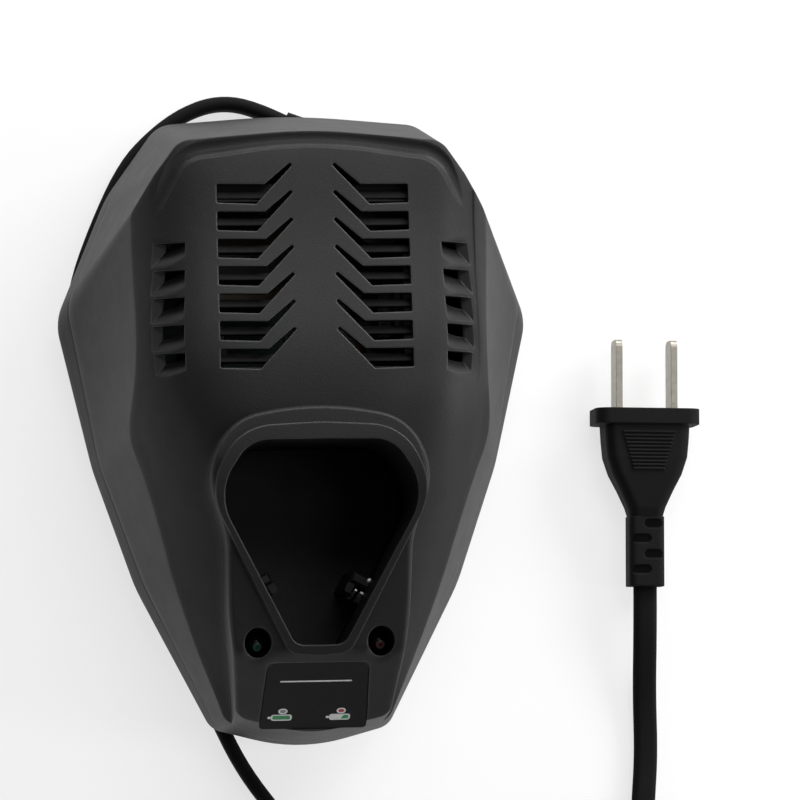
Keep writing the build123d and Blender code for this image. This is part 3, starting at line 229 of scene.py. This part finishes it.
class Shader:
    """A material's node tree, with short ways to add and join nodes."""

    def __init__(self, name):
        self.material = bpy.data.materials.new(name)
        self.material.use_nodes = True
        self.tree = self.material.node_tree
        self.surface = self.tree.nodes["Principled BSDF"]

    def add(self, kind, settings=None, **inputs):
        """A new node, with its own settings and a value or a link for each named socket."""
        node = self.tree.nodes.new("ShaderNode" + kind)
        for key, value in (settings or {}).items():
            setattr(node, key, value)
        for key, value in inputs.items():
            self.put(node, key.replace("_", " "), value)
        return node

    def put(self, node, socket, value):
        """Links an output to a socket, given by name or number, or writes a value on it."""
        target = node.inputs[int(socket)] if socket.isdigit() else node.inputs[socket]
        if isinstance(value, bpy.types.NodeSocket):
            self.tree.links.new(value, target)
        else:
            target.default_value = value

    def set(self, **inputs):
        """Fills sockets of the surface shader."""
        for key, value in inputs.items():
            self.put(self.surface, key.replace("_", " "), value)

    def place(self):
        """Position on the object in metres, the same from every side."""
        return self.add("TexCoord").outputs["Object"]

    def noise(self, scale, detail=3.0, roughness=0.5, vector=None):
        """Fractal noise with so many cells per metre."""
        node = self.add("TexNoise", Scale=scale, Detail=detail, Roughness=roughness)
        self.put(node, "Vector", vector or self.place())
        return node.outputs["Fac"]

    def ramp(self, value, stops):
        """Colours along a value, from pairs of position and colour."""
        node = self.add("ValToRGB", Fac=value)
        elements = node.color_ramp.elements
        while len(elements) < len(stops):
            elements.new(0.5)
        for element, (position, colour) in zip(elements, stops):
            element.position = position
            element.color = (*colour, 1.0)
        return node.outputs["Color"]

    def mottled(self, value, colour):
        """A colour that is a fifth darker where the noise is low."""
        darker = tuple(0.8 * channel for channel in colour)
        return self.ramp(value, list(zip(NOISE_RANGE, (darker, colour))))

    def span(self, value, low, high, to_low, to_high):
        """Maps one range of a value to another, and holds it at the ends."""
        node = self.add("MapRange", Value=value)
        node.inputs["From Min"].default_value = low
        node.inputs["From Max"].default_value = high
        node.inputs["To Min"].default_value = to_low
        node.inputs["To Max"].default_value = to_high
        return node.outputs["Result"]

    def math(self, operation, first, second, kind="Math"):
        """The number that an operation makes of two numbers, or of two vectors with VectorMath."""
        node = self.add(kind, {"operation": operation})
        self.put(node, "0", first)
        self.put(node, "1", second)
        return node.outputs["Value"]

    def mix(self, share, first, second, kind="RGBA"):
        """First value where the share is 0, second where it is 1."""
        node = self.add("Mix", {"data_type": kind})
        places = {"FLOAT": (0, 2, 3, 0), "RGBA": (0, 6, 7, 2)}[kind]
        for socket, value in zip(places, (share, first, second)):
            self.put(node, str(socket), value)
        return node.outputs[places[3]]

    def bump(self, height, distance, strength, normal=None):
        """A normal that a height in metres bends."""
        node = self.add("Bump", Height=height, Distance=distance, Strength=strength)
        if normal is not None:
            self.put(node, "Normal", normal)
        return node.outputs["Normal"]

    def soft_edges(self, radius):
        """A normal that rounds each edge off over a radius in metres."""
        return self.add("Bevel", {"samples": 6}, Radius=radius).outputs["Normal"]


# Moulded plastic: flow patches and uneven sheen, with their cells per metre
PATCH_SCALE = 38.0
PATCH_STOPS = (0.32, 0.7)
PATCH_DARK = (0.86, 0.86, 0.88)
PATCH_PALE = (1.14, 1.15, 1.19)
SHEEN_SCALE = 210.0
SHEEN_SPREAD = 0.03
COAT_ROUGH = 0.3
# How far an edge's normal bends where its painted highlight and its wear start and where they are
# full, how much paler the painted highlight is, and the worn edge's roughness
EDGE_SHEEN_AND_WEAR_BEND = (0.99, 0.8)
EDGE_PAINTED_HIGHLIGHT_PALER = 7
RUBBED_ROUGH = 0.3
# The upright part of the normal where a wall starts to count as sloping, and where it fully does
SLOPE_FROM_LEVEL = (0.93, 0.8)
SLOPE_FROM_UPRIGHT = (0.12, 0.25)


def moulded_plastic(
    name, tone, rough, grain, grain_depth, edge, edge_sheen_and_wear_share=0.0, flank_edge=0.0, gloss=0.2, coat=0.0
):
    """Dark moulded plastic: a fine spark-eroded grain, faint patches, and edges with a painted
    highlight, paler in colour, and smoother as if worn by hands.

    With a flank edge, sloping walls round off over that many metres into their neighbours.
    """
    shader = Shader(name)
    place = shader.place()
    fine = shader.noise(grain, 2.0, 0.6, place)
    patches = shader.noise(PATCH_SCALE, 4.0, 0.6, place)
    dark, pale = (tuple(tone * share for share in shares) for shares in (PATCH_DARK, PATCH_PALE))
    radius = edge
    if flank_edge:
        lean = shader.add("SeparateXYZ")
        shader.put(lean, "Vector", shader.add("NewGeometry").outputs["True Normal"])
        upper = shader.span(lean.outputs["Z"], *SLOPE_FROM_LEVEL, edge, flank_edge)
        lower = shader.span(lean.outputs["Z"], *SLOPE_FROM_UPRIGHT, edge, flank_edge)
        radius = shader.math("MINIMUM", upper, lower)
    softened = shader.soft_edges(radius)
    bent = shader.soft_edges(edge) if flank_edge else softened
    plain = shader.add("NewGeometry").outputs["Normal"]
    facing = shader.math("DOT_PRODUCT", bent, plain, "VectorMath")
    # Painted highlight: the edges' colour is painted paler; their lower roughness is wear
    edge_sheen_and_wear = shader.span(facing, *EDGE_SHEEN_AND_WEAR_BEND, 0.0, edge_sheen_and_wear_share)
    edge_highlight_colour = (tone * EDGE_PAINTED_HIGHLIGHT_PALER,) * 3 + (1.0,)
    uneven = shader.noise(SHEEN_SCALE, 4.0, 0.6, place)
    sheen = shader.span(uneven, *NOISE_RANGE, rough - SHEEN_SPREAD, rough + SHEEN_SPREAD)
    colour = shader.ramp(patches, list(zip(PATCH_STOPS, (dark, pale))))
    shader.set(
        Base_Color=shader.mix(edge_sheen_and_wear, colour, edge_highlight_colour),
        Roughness=shader.mix(edge_sheen_and_wear, sheen, RUBBED_ROUGH, "FLOAT"),
        Specular_IOR_Level=gloss,
        Coat_Weight=coat,
        Coat_Roughness=COAT_ROUGH,
        Normal=shader.bump(fine, grain_depth, 0.6, softened),
    )
    return shader.material


# Metal, lenses and components: bumps and edges in metres, and how a metal's roughness varies
BUMP_STRENGTH = 0.4
SCRATCH_DEPTH = 0.00003
SCRATCHES_PER_SPOT = 6
METAL_EDGE = 0.0002
METAL_SMOOTHER, METAL_ROUGHER = 0.75, 1.3
COMPONENT_BUMP = 0.00004
COMPONENT_EDGE = 0.0003
LENS_RADIUS = 0.002
LENS_ROUGH = 0.2
LENS_GLOSS = 0.2


def metal(name, colour, rough, scale, metallic=1.0):
    """Bare or plated metal with drawn scratches and uneven shine."""
    shader = Shader(name)
    place = shader.place()
    spots = shader.noise(scale, 4.0, 0.65, place)
    scratches = shader.noise(scale * SCRATCHES_PER_SPOT, 2.0, 0.5, place)
    smoother, rougher = rough * METAL_SMOOTHER, rough * METAL_ROUGHER
    shader.set(
        Base_Color=shader.mottled(spots, colour),
        Metallic=metallic,
        Roughness=shader.span(spots, *NOISE_RANGE, smoother, rougher),
        Normal=shader.bump(scratches, SCRATCH_DEPTH, BUMP_STRENGTH, shader.soft_edges(METAL_EDGE)),
    )
    return shader.material


def tinted_lens(name, colour, deep, middle):
    """Dark tinted lens with a painted highlight: a pale ring about the middle stands for the glint
    on the lamp inside, and the tint is darker away from the middle.
    """
    shader = Shader(name)
    split = shader.add("SeparateXYZ")
    shader.put(split, "Vector", shader.place())
    flat = shader.add("CombineXYZ", X=split.outputs["X"], Y=split.outputs["Y"], Z=0.0)
    distance = shader.math("DISTANCE", flat.outputs[0], (*middle, 0.0), "VectorMath")
    away = shader.span(distance, 0.0, LENS_RADIUS, 0.0, 1.0)
    # Painted highlight: the paler ring is the glint on the lamp inside, painted into the colour
    ring = tuple(0.45 * channel + 0.04 for channel in colour)
    stops = [(0.0, colour), (0.2, colour), (0.3, ring), (0.4, ring), (0.52, deep), (1.0, deep)]
    shader.set(
        Base_Color=shader.ramp(away, stops),
        Roughness=LENS_ROUGH,
        Specular_IOR_Level=LENS_GLOSS,
        Normal=shader.bump(shader.noise(900.0, 2.0, 0.5), COMPONENT_BUMP, 0.3),
    )
    return shader.material


def plain_component(name, colour, rough, scale=400.0, gloss=0.4):
    """Board parts, prints and rubber: one colour with a little mottling and a faint bump."""
    shader = Shader(name)
    spots = shader.noise(scale, 3.0, 0.6)
    shader.set(
        Base_Color=shader.mottled(spots, colour),
        Roughness=rough,
        Specular_IOR_Level=gloss,
        Normal=shader.bump(spots, COMPONENT_BUMP, BUMP_STRENGTH, shader.soft_edges(COMPONENT_EDGE)),
    )
    return shader.material


def dress(material, *names):
    """Gives CAD nodes a material in place of their plain one."""
    for name in names:
        slots = nodes[name].data.materials
        if len(slots):
            for index in range(len(slots)):
                slots[index] = material
        else:
            slots.append(material)


# The edge share of each plastic sets its painted edge highlight and its edge wear
housing_plastic = moulded_plastic(
    "housing_plastic", tone=0.008, rough=0.58, grain=2600.0, grain_depth=0.0001, edge=0.0006,
    edge_sheen_and_wear_share=0.9, flank_edge=0.003, coat=0.1,
)
liner_plastic = moulded_plastic(
    "liner_plastic", tone=0.006, rough=0.5, grain=2200.0, grain_depth=0.00006, edge=0.0004,
    edge_sheen_and_wear_share=0.5,
)
plug_plastic = moulded_plastic(
    "plug_plastic", tone=0.004, rough=0.72, grain=1800.0, grain_depth=0.00005, edge=0.0004,
    edge_sheen_and_wear_share=0.2, gloss=0.12,
)
# Painted shade: this darker plastic stands for the shade inside the plug's pockets
pocket_painted_shade = moulded_plastic(
    "pocket_painted_shade", tone=0.0012, rough=0.8, grain=1800.0, grain_depth=0.00006, edge=0.0003,
    edge_sheen_and_wear_share=0.1, gloss=0.05,
)
cord_plastic = moulded_plastic(
    "cord_plastic", tone=0.004, rough=0.8, grain=1500.0, grain_depth=0.00006, edge=0.0003,
    gloss=0.1,
)
dress(housing_plastic, "top_housing", "bottom_housing")
dress(liner_plastic, "battery_well", "vent_baffle", "contact_carrier_left", "contact_carrier_right")
dress(plug_plastic, "plug_body", "strain_relief")
cord.data.materials.append(cord_plastic)

contact_metal = metal("contact_metal", (0.9, 0.89, 0.85), 0.45, 900.0, 0.75)
dress(contact_metal, "contact_positive", "contact_negative")
dress(metal("blade_metal", (0.3, 0.28, 0.24), 0.36, 700.0), "plug_blades")
dress(metal("screw_metal", (0.6, 0.6, 0.62), 0.3, 800.0),
      "housing_screws", "board_screws", "lamp_board_screws", "well_screws")

lens_green = tinted_lens(
    "lens_green", (0.003, 0.06, 0.025), (0.001, 0.006, 0.003), (-0.0129, -0.0498)
)
lens_red = tinted_lens(
    "lens_red", (0.05, 0.006, 0.008), (0.006, 0.001, 0.0015), (0.0134, -0.0497)
)
dress(lens_green, "led_green")
dress(lens_red, "led_red")

dress(plain_component("board_green", (0.006, 0.04, 0.02), 0.35), "circuit_board", "lamp_board")
dress(plain_component("ferrite_grey", (0.03, 0.03, 0.032), 0.6), "transformer_core")
dress(plain_component("winding_tape", (0.05, 0.03, 0.008), 0.4), "transformer_winding", "choke")
dress(plain_component("sleeve_black", (0.008, 0.01, 0.016), 0.3),
      "input_capacitor", "output_capacitor")
dress(plain_component("component_black", (0.02, 0.02, 0.02), 0.4),
      "bridge_rectifier", "power_transistor", "controller_chip")
dress(plain_component("sink_anodised", (0.02, 0.02, 0.022), 0.45, 600.0), "heat_sink")
dress(plain_component("fuse_glass", (0.6, 0.62, 0.62), 0.12), "fuse")
dress(plain_component("nylon_black", (0.015, 0.015, 0.015), 0.45), "lead_connector")
dress(plain_component("foot_rubber", (0.02, 0.02, 0.02), 0.75), "rubber_feet")
dress(plain_component("label_film", (0.005, 0.005, 0.0055), 0.6, gloss=0.15), "label_plate")

ink_white = plain_component("ink_white", (0.72, 0.73, 0.72), 0.5, 1500.0)
ink_green = plain_component("ink_green", (0.03, 0.25, 0.09), 0.5, 1500.0)
ink_red = plain_component("ink_red", (0.42, 0.03, 0.05), 0.5, 1500.0)
ink_grey = plain_component("ink_grey", (0.25, 0.27, 0.27), 0.5, 1500.0)


# The scene's own small pieces, which all ride on the housing
def on_housing(name, data, materials):
    """Adds a piece that rides on the housing, with the given materials."""
    for material in materials:
        data.materials.append(material)
    piece = bpy.data.objects.new(name, data)
    scene.collection.objects.link(piece)
    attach(piece, "housing")


def bridge(work, rings):
    """Joins rings of vertices, each to the next, with bands of faces."""
    for first, second in zip(rings, rings[1:]):
        for index in range(len(first)):
            after = (index + 1) % len(first)
            work.faces.new((first[index], first[after], second[after], second[index]))


def finished_mesh(name, work, round_sides=False):
    """Turns a bmesh into a mesh; round sides face outwards and shade smoothly."""
    if round_sides:
        bmesh.ops.recalc_face_normals(work, faces=work.faces)
        for face in work.faces:
            face.smooth = True
    mesh = bpy.data.meshes.new(name)
    work.to_mesh(mesh)
    work.free()
    return mesh


# Label: a line and two plain battery signs with a round mark above each, in millimetres
LABEL_SLOPE = math.atan(19.0 / 17.2)
LABEL_MIDDLE = mm(0.0, -60.35, 46.072)
LABEL_UP = Vector((0.0, math.cos(LABEL_SLOPE), math.sin(LABEL_SLOPE)))
LABEL_OUT = Vector((0.0, -math.sin(LABEL_SLOPE), math.cos(LABEL_SLOPE)))
LABEL_TOP = -0.2
LABEL_CORNER = (10.9, 10.5)
CORNER_ROUND = 2.4
CORNER_LIFT = 0.19
CORNER_STEPS = 6
INK = 0.03
LINE = (-0.16, 4.55, 15.4, 0.42, 0.2)
# Widths, heights and corner radii of a sign's parts, and their places from its middle
SHELL = (4.5, 1.9, 0.6)
CORE = (3.8, 1.2, 0.35)
TIP = (0.8, 0.7, 0.3)
TIP_AWAY = 2.6
PART_CHARGE = [(0.2, -0.6), (1.9, -0.6), (1.9, 0.6), (0.9, 0.6)]
RING = (2.0, 1.7, 0.84)
RING_HOLE = (1.3, 1.0, 0.49)
RING_X, RING_Y = 0.25, 1.95
ROUNDED_STEPS = 5
# Corners of a rectangle in turn: their sides, and the angle at which each arc starts
CORNERS = ((1, 1, 0), (-1, 1, 90), (-1, -1, 180), (1, -1, 270))


def on_label(x, y, lift):
    """A point of the label, in millimetres from its middle, lifted above its face."""
    lifted = LABEL_OUT * ((LABEL_TOP + lift) * MM)
    return LABEL_MIDDLE + mm(x, 0.0, 0.0) + LABEL_UP * (y * MM) + lifted


def rounded(x, y, width, height, radius):
    """Corner-rounded rectangle about a point, as an outline of the label's millimetres."""
    outline = []
    for side_x, side_y, start in CORNERS:
        for step in range(ROUNDED_STEPS + 1):
            angle = math.radians(start + 90.0 * step / ROUNDED_STEPS)
            outline.append((
                x + side_x * (width / 2 - radius) + radius * math.cos(angle),
                y + side_y * (height / 2 - radius) + radius * math.sin(angle),
            ))
    return outline


def printed(name, outer, material, inner=None, lift=INK):
    """A thin shape on the label: a filled outline, or the band between two outlines."""
    ink = bmesh.new()
    outlines = [outer] if inner is None else [outer, inner]
    rings = [[ink.verts.new(on_label(x, y, lift)) for x, y in outline] for outline in outlines]
    if inner is None:
        ink.faces.new(rings[0])
    else:
        bridge(ink, rings)
    on_housing(name, finished_mesh(name, ink), [material])


# The plate's upper corners are square in CAD, and a web of the housing rounds them
for side, hand in ((-1, "left"), (1, "right")):
    corner_x, corner_y = LABEL_CORNER
    web = [(side * corner_x, corner_y)]
    for step in range(CORNER_STEPS + 1):
        angle = math.radians(90.0 * step / CORNER_STEPS)
        web.append((
            side * (corner_x - CORNER_ROUND * (1 - math.cos(angle))),
            corner_y - CORNER_ROUND * (1 - math.sin(angle)),
        ))
    printed(f"label_corner_{hand}", web[::side], housing_plastic, lift=CORNER_LIFT)

printed("label_line", rounded(*LINE), ink_white)
for side, x, y, mark in (("left", -6.97, -6.73, ink_grey), ("right", 5.63, -6.79, ink_red)):
    core = rounded(x, y, *CORE)
    printed(f"battery_{side}", rounded(x, y, *SHELL), ink_white, core)
    printed(f"battery_{side}_tip", rounded(x - TIP_AWAY, y, *TIP), ink_white)
    if side == "left":
        printed("battery_left_charge", core, ink_green, lift=INK / 2)
    else:
        charge = [(x + away_x, y + away_y) for away_x, away_y in PART_CHARGE]
        printed("battery_right_empty", core, ink_white, lift=INK / 2)
        printed("battery_right_charge", charge, ink_green)
    hole = rounded(x + RING_X, y + RING_Y, *RING_HOLE)
    printed(f"lamp_ring_{side}", rounded(x + RING_X, y + RING_Y, *RING), ink_white, hole)
    printed(f"lamp_mark_{side}", hole, mark, lift=INK / 2)

# Well, in millimetres: rivets on the carriers, the contact strips' edges and a mark on the floor
WALL_CORNER = (5.95, -51.25)
WALL_ALONG = (0.47145, 0.88189)
CARRIER_TOP = 41.8
RIVET = [(0.55, -0.1), (0.55, 0.06), (0.46, 0.17), (0.28, 0.26), (0.08, 0.3)]
RIVET_ALONG = 16.9
RIVETS_INWARD = {"inner": 1.5, "outer": 0.3}
RIVET_SIDES = 20
STRIP_HEIGHT = 37.5
STRIP_ROUND = 0.16
STRIP_OFF_WALL = 0.12
STRIPS = {"rear": (20.0, 23.4), "middle": (8.3, 11.8), "front": (3.3, 6.1)}
LOOK_FROM = 4.0
FLOOR_MARK = [(1.75, -0.1), (1.75, 0.05), (1.62, 0.05), (1.55, -0.1)]
FLOOR_MARK_ABOVE = (0.0, -34.7, 40.0)
FLOOR_MARK_SIDES = 32


def by_wall(side, along, inward, height):
    """A point by the well's slanting wall: so far from its front corner and so far in from it."""
    x = WALL_CORNER[0] + along * WALL_ALONG[0] - inward * WALL_ALONG[1]
    y = WALL_CORNER[1] + along * WALL_ALONG[1] + inward * WALL_ALONG[0]
    return mm(side * x, y, height)


def against_wall(side, along, height):
    """Where the wall of the well stands, found from inside it."""
    outward = Vector((side * WALL_ALONG[1], -WALL_ALONG[0], 0.0))
    inside = by_wall(side, along, LOOK_FROM, height)
    hit, place = nodes["battery_well"].ray_cast(inside, outward)[:2]
    return place - outward * (STRIP_OFF_WALL * MM) if hit else by_wall(side, along, 0.0, height)


def spun_mesh(name, centre, profile, segments):
    """A profile of radius and height in millimetres, spun about an upright axis, its end closed."""
    work = bmesh.new()
    rings = []
    for radius, height in profile:
        ring = []
        for index in range(segments):
            angle = 2 * math.pi * index / segments
            offset = mm(radius * math.cos(angle), radius * math.sin(angle), height)
            ring.append(work.verts.new(centre + offset))
        rings.append(ring)
    bridge(work, rings)
    work.faces.new(rings[-1])
    return finished_mesh(name, work, round_sides=True)


def strip_edge(name, side, span):
    """Rounded upper edge of the flat contact strip, a thin bright line along the wall."""
    data = bpy.data.curves.new(name, "CURVE")
    data.dimensions = "3D"
    data.bevel_depth = STRIP_ROUND
    data.bevel_resolution = 2
    data.use_fill_caps = True
    spline = data.splines.new("POLY")
    spline.points.add(1)
    for point, along in zip(spline.points, span):
        point.co = (*against_wall(side, along, STRIP_HEIGHT), 1.0)
        point.radius = MM
    on_housing(name, data, [contact_metal])


for side, hand in ((-1, "left"), (1, "right")):
    for which, inward in RIVETS_INWARD.items():
        name = f"carrier_rivet_{hand}_{which}"
        centre = by_wall(side, RIVET_ALONG, inward, CARRIER_TOP)
        on_housing(name, spun_mesh(name, centre, RIVET, RIVET_SIDES), [contact_metal])

for side, hand in ((-1, "left"), (1, "right")):
    for which, span in STRIPS.items():
        strip_edge(f"strip_edge_{hand}_{which}", side, span)

well_floor = nodes["battery_well"].ray_cast(mm(*FLOOR_MARK_ABOVE), Vector((0.0, 0.0, -1.0)))[1]
floor_mark = spun_mesh("well_floor_mark", well_floor, FLOOR_MARK, FLOOR_MARK_SIDES)
on_housing("well_floor_mark", floor_mark, [liner_plastic])

# Plug, in millimetres from its face: a skin on the sleeve, with pockets in turn from either side
PLUG_FACE = Vector((80.91, 3.82, 6.5))
PLUG_LEAN = math.radians(1.3)
PLUG_ALONG = Vector((math.sin(PLUG_LEAN), math.cos(PLUG_LEAN), 0.0))
PLUG_ACROSS = Vector((PLUG_ALONG.y, -PLUG_ALONG.x, 0.0))
SLEEVE_HALF_X, SLEEVE_HALF_Z = 4.06, 3.56
SLEEVE_CORNER = 1.5
SLEEVE_CORNER_STEPS = 5
SLEEVE_FLAT_STEPS = {"level": 30, "upright": 8}
SLEEVE_FROM, SLEEVE_TO, SLEEVE_STEP = -24.5, -40.2, 0.16
# Places along the axis and how far they lie inside the skin, where it closes at either end
SLEEVE_START = [(-24.4, 0.29), (-24.42, 0.1)]
SLEEVE_END = [(-40.3, 0.08), (-40.33, 0.5)]
POCKETS = [(-26.1, 1), (-29.5, -1), (-33.0, 1), (-36.5, -1)]
POCKET_FROM, POCKET_TO = 0.15, 2.6
POCKET_RADIUS = 0.95
POCKET_DEPTH = 0.25
POCKET_SOFTNESS = 0.14
# Pockets are only in faces that lie this level, and their floor gets painted shade, a darker
# plastic, from this depth on
POCKET_LEVEL = 0.9
POCKET_SHADE_FROM = 0.6


def sleeve_loop():
    """A rounded rectangle's points with their outward direction, close together on flat sides."""
    loop = []
    flat_x = SLEEVE_HALF_X - SLEEVE_CORNER
    flat_z = SLEEVE_HALF_Z - SLEEVE_CORNER
    for number, (side_x, side_z, start) in enumerate(CORNERS):
        x, z = side_x * flat_x, side_z * flat_z
        for step in range(SLEEVE_CORNER_STEPS + 1):
            angle = math.radians(start + 90.0 * step / SLEEVE_CORNER_STEPS)
            out_x, out_z = math.cos(angle), math.sin(angle)
            loop.append((x + SLEEVE_CORNER * out_x, z + SLEEVE_CORNER * out_z, out_x, out_z))
        next_side_x, next_side_z = CORNERS[(number + 1) % len(CORNERS)][:2]
        next_x, next_z = next_side_x * flat_x, next_side_z * flat_z
        steps = SLEEVE_FLAT_STEPS["level" if number % 2 == 0 else "upright"]
        for step in range(1, steps):
            share = step / steps
            flat_point_x = x + (next_x - x) * share + SLEEVE_CORNER * out_x
            flat_point_z = z + (next_z - z) * share + SLEEVE_CORNER * out_z
            loop.append((flat_point_x, flat_point_z, out_x, out_z))
    return loop


def pocket_depth(x, along, level):
    """How deep the sleeve's skin is pressed in at a place across and along it."""
    if level <= POCKET_LEVEL:
        return 0.0
    depth = 0.0
    for middle, side in POCKETS:
        nearest = min(max(x * side, POCKET_FROM), POCKET_TO)
        gap = math.hypot(x * side - nearest, along - middle) - POCKET_RADIUS
        share = min(max(0.5 - gap / (2 * POCKET_SOFTNESS), 0.0), 1.0)
        depth = max(depth, POCKET_DEPTH * smooth_step(share))
    return depth


def sleeve_skin():
    """The skin's mesh, with the plug's plastic first and the pockets' painted shade, a darker
    plastic, second.
    """
    count = round((SLEEVE_FROM - SLEEVE_TO) / SLEEVE_STEP) + 1
    stations = [(SLEEVE_FROM - SLEEVE_STEP * index, 0.0) for index in range(count)]
    skin = bmesh.new()
    rings = []
    for along, inset in SLEEVE_START + stations + SLEEVE_END:
        ring = []
        for x, z, out_x, out_z in sleeve_loop():
            inward = inset + pocket_depth(x, along, abs(out_z))
            place = PLUG_FACE + PLUG_ALONG * along + PLUG_ACROSS * (x - out_x * inward)
            place.z += z - out_z * inward
            ring.append(skin.verts.new(place * MM))
        rings.append(ring)
    bridge(skin, rings)
    for face in skin.faces:
        middle = face.calc_center_median() / MM - PLUG_FACE
        level = abs(middle.z) / SLEEVE_HALF_Z
        depth = pocket_depth(middle.dot(PLUG_ACROSS), middle.dot(PLUG_ALONG), level)
        # Painted shade: faces deep in a pocket take the darker second material
        face.material_index = int(depth > POCKET_DEPTH * POCKET_SHADE_FROM)
    return finished_mesh("sleeve_skin", skin, round_sides=True)


on_housing("sleeve_skin", sleeve_skin(), [plug_plastic, pocket_painted_shade])

# Floor: a round sheet of pale paper that rises far out, its profile in millimetres
PAPER_PROFILE = [
    (3000, 1300), (3000, 500), (2970, 320), (2880, 160), (2740, 50), (2560, 0), (1500, 0), (400, 0)
]
PAPER_SIDES = 64
PAPER_GLOW = 0.7
PAPER_GREYS = ((0.92, 0.92, 0.92), (0.94, 0.94, 0.94))
PAPER_PATCHES = 60.0


def paper_material():
    """Pale paper, lighter to the camera, to gloss and through clear parts, with its shadow kept."""
    shader = Shader("floor_paper")
    greys = shader.ramp(shader.noise(PAPER_PATCHES), list(zip(NOISE_RANGE, PAPER_GREYS)))
    shader.set(Base_Color=greys, Roughness=0.9)
    seen = shader.add("LightPath").outputs
    seen_so = shader.math("MAXIMUM", seen["Is Camera Ray"], seen["Is Glossy Ray"])
    seen_so = shader.math("MAXIMUM", seen_so, seen["Is Transmission Ray"])
    white = shader.add("Emission", Color=(1.0, 1.0, 1.0, 1.0), Strength=1.0)
    blend = shader.add("MixShader")
    shader.put(blend, "0", shader.math("MULTIPLY", seen_so, PAPER_GLOW))
    shader.put(blend, "1", shader.surface.outputs[0])
    shader.put(blend, "2", white.outputs[0])
    shader.put(shader.tree.nodes["Material Output"], "Surface", blend.outputs[0])
    return shader.material


floor_mesh = spun_mesh("floor", mm(0.0, 0.0, 0.0), PAPER_PROFILE, PAPER_SIDES)
floor_mesh.materials.append(paper_material())
floor = bpy.data.objects.new("floor", floor_mesh)
scene.collection.objects.link(floor)

# Light: a faint white world and softboxes, each with its place, the height on the axis that it
# faces, its width and height, all in metres, and its watts
WORLD_STRENGTH = 0.13
SOFTBOXES = {
    "rear_high_softbox": ((0.1, 0.5, 0.95), 0.03, (0.7, 0.3), 3.8),
    "right_rear_softbox": ((0.65, 0.6, 0.4), 0.03, (0.6, 0.3), 9.0),
    "rear_softbox": ((0.0, 0.8, 0.16), 0.04, (1.0, 0.2), 6.0),
    "right_softbox": ((0.85, -0.15, 0.22), 0.04, (0.2, 0.8), 3.0),
    "right_high_softbox": ((0.55, -0.05, 0.9), 0.03, (0.2, 0.8), 1.6),
    "left_front_softbox": ((-0.75, -0.55, 0.5), 0.03, (0.7, 0.3), 0.5),
}

world = bpy.data.worlds.new("studio")
scene.world = world
world.use_nodes = True
background = world.node_tree.nodes["Background"]
background.inputs["Color"].default_value = (1.0, 1.0, 1.0, 1.0)
background.inputs["Strength"].default_value = WORLD_STRENGTH

for name, (place, aim_height, size, power) in SOFTBOXES.items():
    lamp = bpy.data.lights.new(name, "AREA")
    lamp.shape = "RECTANGLE"
    lamp.size, lamp.size_y = size
    lamp.energy = power
    light = bpy.data.objects.new(name, lamp)
    scene.collection.objects.link(light)
    light.location = place
    aim = Vector((0.0, 0.0, aim_height)) - Vector(place)
    light.rotation_euler = aim.to_track_quat("-Z", "Y").to_euler()

scene.view_settings.view_transform = "Standard"
